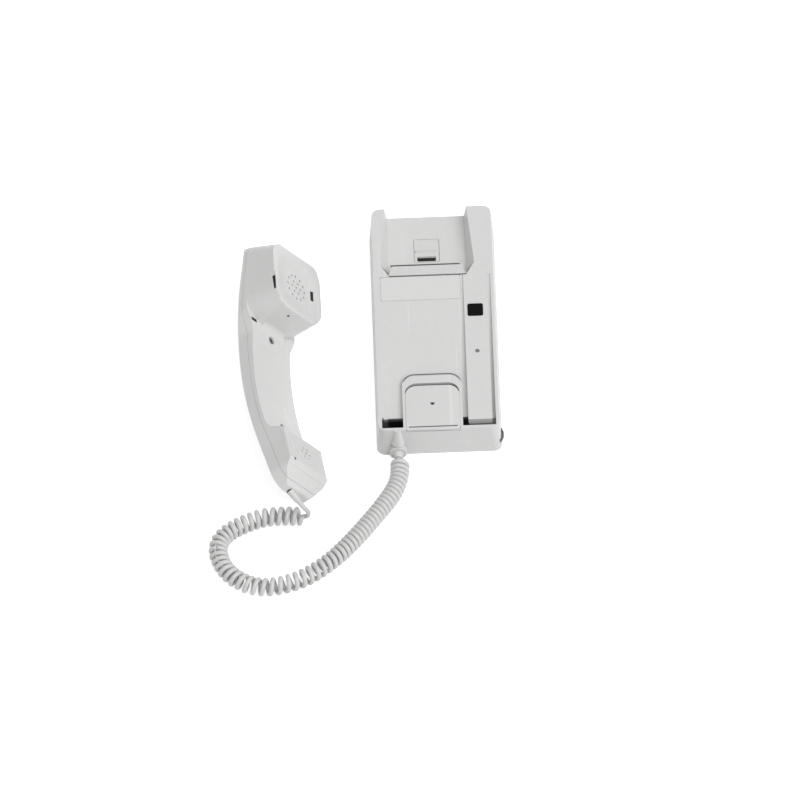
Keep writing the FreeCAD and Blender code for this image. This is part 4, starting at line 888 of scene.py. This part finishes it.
# The housing, its tab, the paddle and the handset get painted shade in their deep places.
finish("housing_plastic", shell_tone, 0.36, 0.50, scuffed=0.35, shaded=base_shade_boxes, arches=[frame_arch_shade])
finish("housing_plastic_tab", (0.69, 0.69, 0.685), 0.38, 0.5, shaded=[tab_slot_shade])
finish("back_plastic", (0.58, 0.58, 0.575), 0.5, 0.65, skin_size=500.0, skin_height=0.00008, scuffed=0.5)
finish("paddle_plastic", shell_tone, 0.32, 0.46, scuffed=0.5, shaded=[paddle_foot_shade, paddle_dot_shade])
finish("handset_plastic", shell_tone, 0.30, 0.44, scuffed=0.4, shaded=handset_shade_boxes, in_handset=True)
finish("cord_vinyl", (0.66, 0.66, 0.655), 0.30, 0.40, depth=0.05, drift_size=60.0, skin_size=1500.0,
       skin_height=0.00002)
finish("boot_vinyl", (0.67, 0.67, 0.665), 0.42, 0.55, depth=0.05, drift_size=90.0)
finish("button_plastic", (0.004, 0.004, 0.004), 0.4, 0.55, depth=0.2, drift_size=150.0,
       Specular_IOR_Level=0.12)
finish("wheel_plastic", (0.10, 0.10, 0.10), 0.45, 0.6, depth=0.15, drift_size=150.0)
finish("label_plastic", (0.72, 0.72, 0.715), 0.22, 0.32, depth=0.02, drift_size=160.0,
       skin_size=2500.0, skin_height=0.00001, Coat_Weight=0.3, Coat_Roughness=0.15)
finish("clear_plastic", (0.30, 0.30, 0.30), 0.15, 0.3, depth=0.05, drift_size=200.0,
       Transmission_Weight=0.3, IOR=1.49)
finish("lamp_lens", (0.35, 0.06, 0.05), 0.1, 0.2, depth=0.1, drift_size=200.0, Transmission_Weight=0.3)
print(len(finishes), "finishes for the outside")

# %% [markdown]
# ## Finishes of the inside
# Nobody sees the works unless the shell is opened, and they are still worth their own finishes:
# zinc-plated screws, drawn springs, brass terminals, a lacquered board, black components, pressed
# capsule cans, foam rings and a cast weight.

# %% Finishes of the works
finish("screw_steel", (0.33, 0.33, 0.33), 0.35, 0.5, depth=0.25, drift_size=400.0,
       brushed_metal=True, Metallic=1.0)
finish("spring_steel", (0.58, 0.58, 0.57), 0.25, 0.4, depth=0.15, drift_size=400.0,
       brushed_metal=True, Metallic=1.0)
finish("pin_steel", (0.60, 0.60, 0.60), 0.18, 0.3, depth=0.1, drift_size=400.0,
       brushed_metal=True, Metallic=1.0)
finish("terminal_brass", (0.68, 0.52, 0.24), 0.25, 0.4, depth=0.2, drift_size=300.0,
       brushed_metal=True, Metallic=1.0)
finish("capsule_metal", (0.60, 0.60, 0.61), 0.3, 0.45, depth=0.15, drift_size=120.0,
       skin_size=1200.0, Metallic=1.0)
finish("weight_iron", (0.16, 0.155, 0.15), 0.6, 0.8, depth=0.4, drift_size=120.0, skin_size=700.0,
       skin_height=0.0002, Metallic=0.6)
finish("switch_black", (0.025, 0.025, 0.025), 0.45, 0.6, depth=0.3, drift_size=150.0)
finish("component_black", (0.03, 0.03, 0.032), 0.4, 0.6, depth=0.3, drift_size=200.0)
finish("plunger_nylon", (0.72, 0.72, 0.66), 0.35, 0.5, depth=0.05, drift_size=200.0,
       Subsurface_Weight=0.1, Subsurface_Scale=0.001)
finish("board_laminate", (0.05, 0.15, 0.06), 0.25, 0.4, depth=0.3, drift_size=80.0,
       skin_size=3000.0, Coat_Weight=0.4, Coat_Roughness=0.2)
finish("block_plastic", (0.10, 0.11, 0.12), 0.45, 0.6, depth=0.2, drift_size=150.0)
finish("gasket_rubber", (0.02, 0.02, 0.02), 0.75, 0.95, depth=0.4, drift_size=600.0,
       skin_size=1800.0, skin_height=0.0003)
finish("lead_insulation", (0.16, 0.15, 0.15), 0.35, 0.5, depth=0.2, drift_size=200.0)
print(len(finishes), "finishes in all")

# %% [markdown]
# ## Giving out the finishes
# The frame's record names a slot for every piece, and each slot has one finish. The cord and the
# shaped copies get theirs by name. A copy still carries the look that it was copied with, so its
# material list is emptied first.

# %% Give every piece its finish
for entry in frame["record"]["subparts"]:
    piece = nodes[entry["node"]]
    piece.data.materials.clear()
    piece.data.materials.append(finishes[entry["material_slot"]])
for piece in (cord_lying, cord_lifting):
    piece.data.materials.append(finishes["cord_vinyl"])
for piece, slot in ((ear_cap, "handset_plastic"), (mouth_cap, "handset_plastic"),
                    (paddle, "paddle_plastic"), (spring, "spring_steel")):
    piece.data.materials.clear()
    piece.data.materials.append(finishes[slot])
print(len(finishes), "finishes on", len(nodes), "pieces of the frame")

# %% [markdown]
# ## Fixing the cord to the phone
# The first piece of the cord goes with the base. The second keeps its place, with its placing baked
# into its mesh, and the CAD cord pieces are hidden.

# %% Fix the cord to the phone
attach(cord_lying, "base")
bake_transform(cord_lifting)
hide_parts("cord_tail_base", "cord_coil")
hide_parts("cord_tail_handset")
print(f"{line_length(lying_wire):.2f} m of cord lies, and {line_length(lifting_wire):.2f} m can lift")
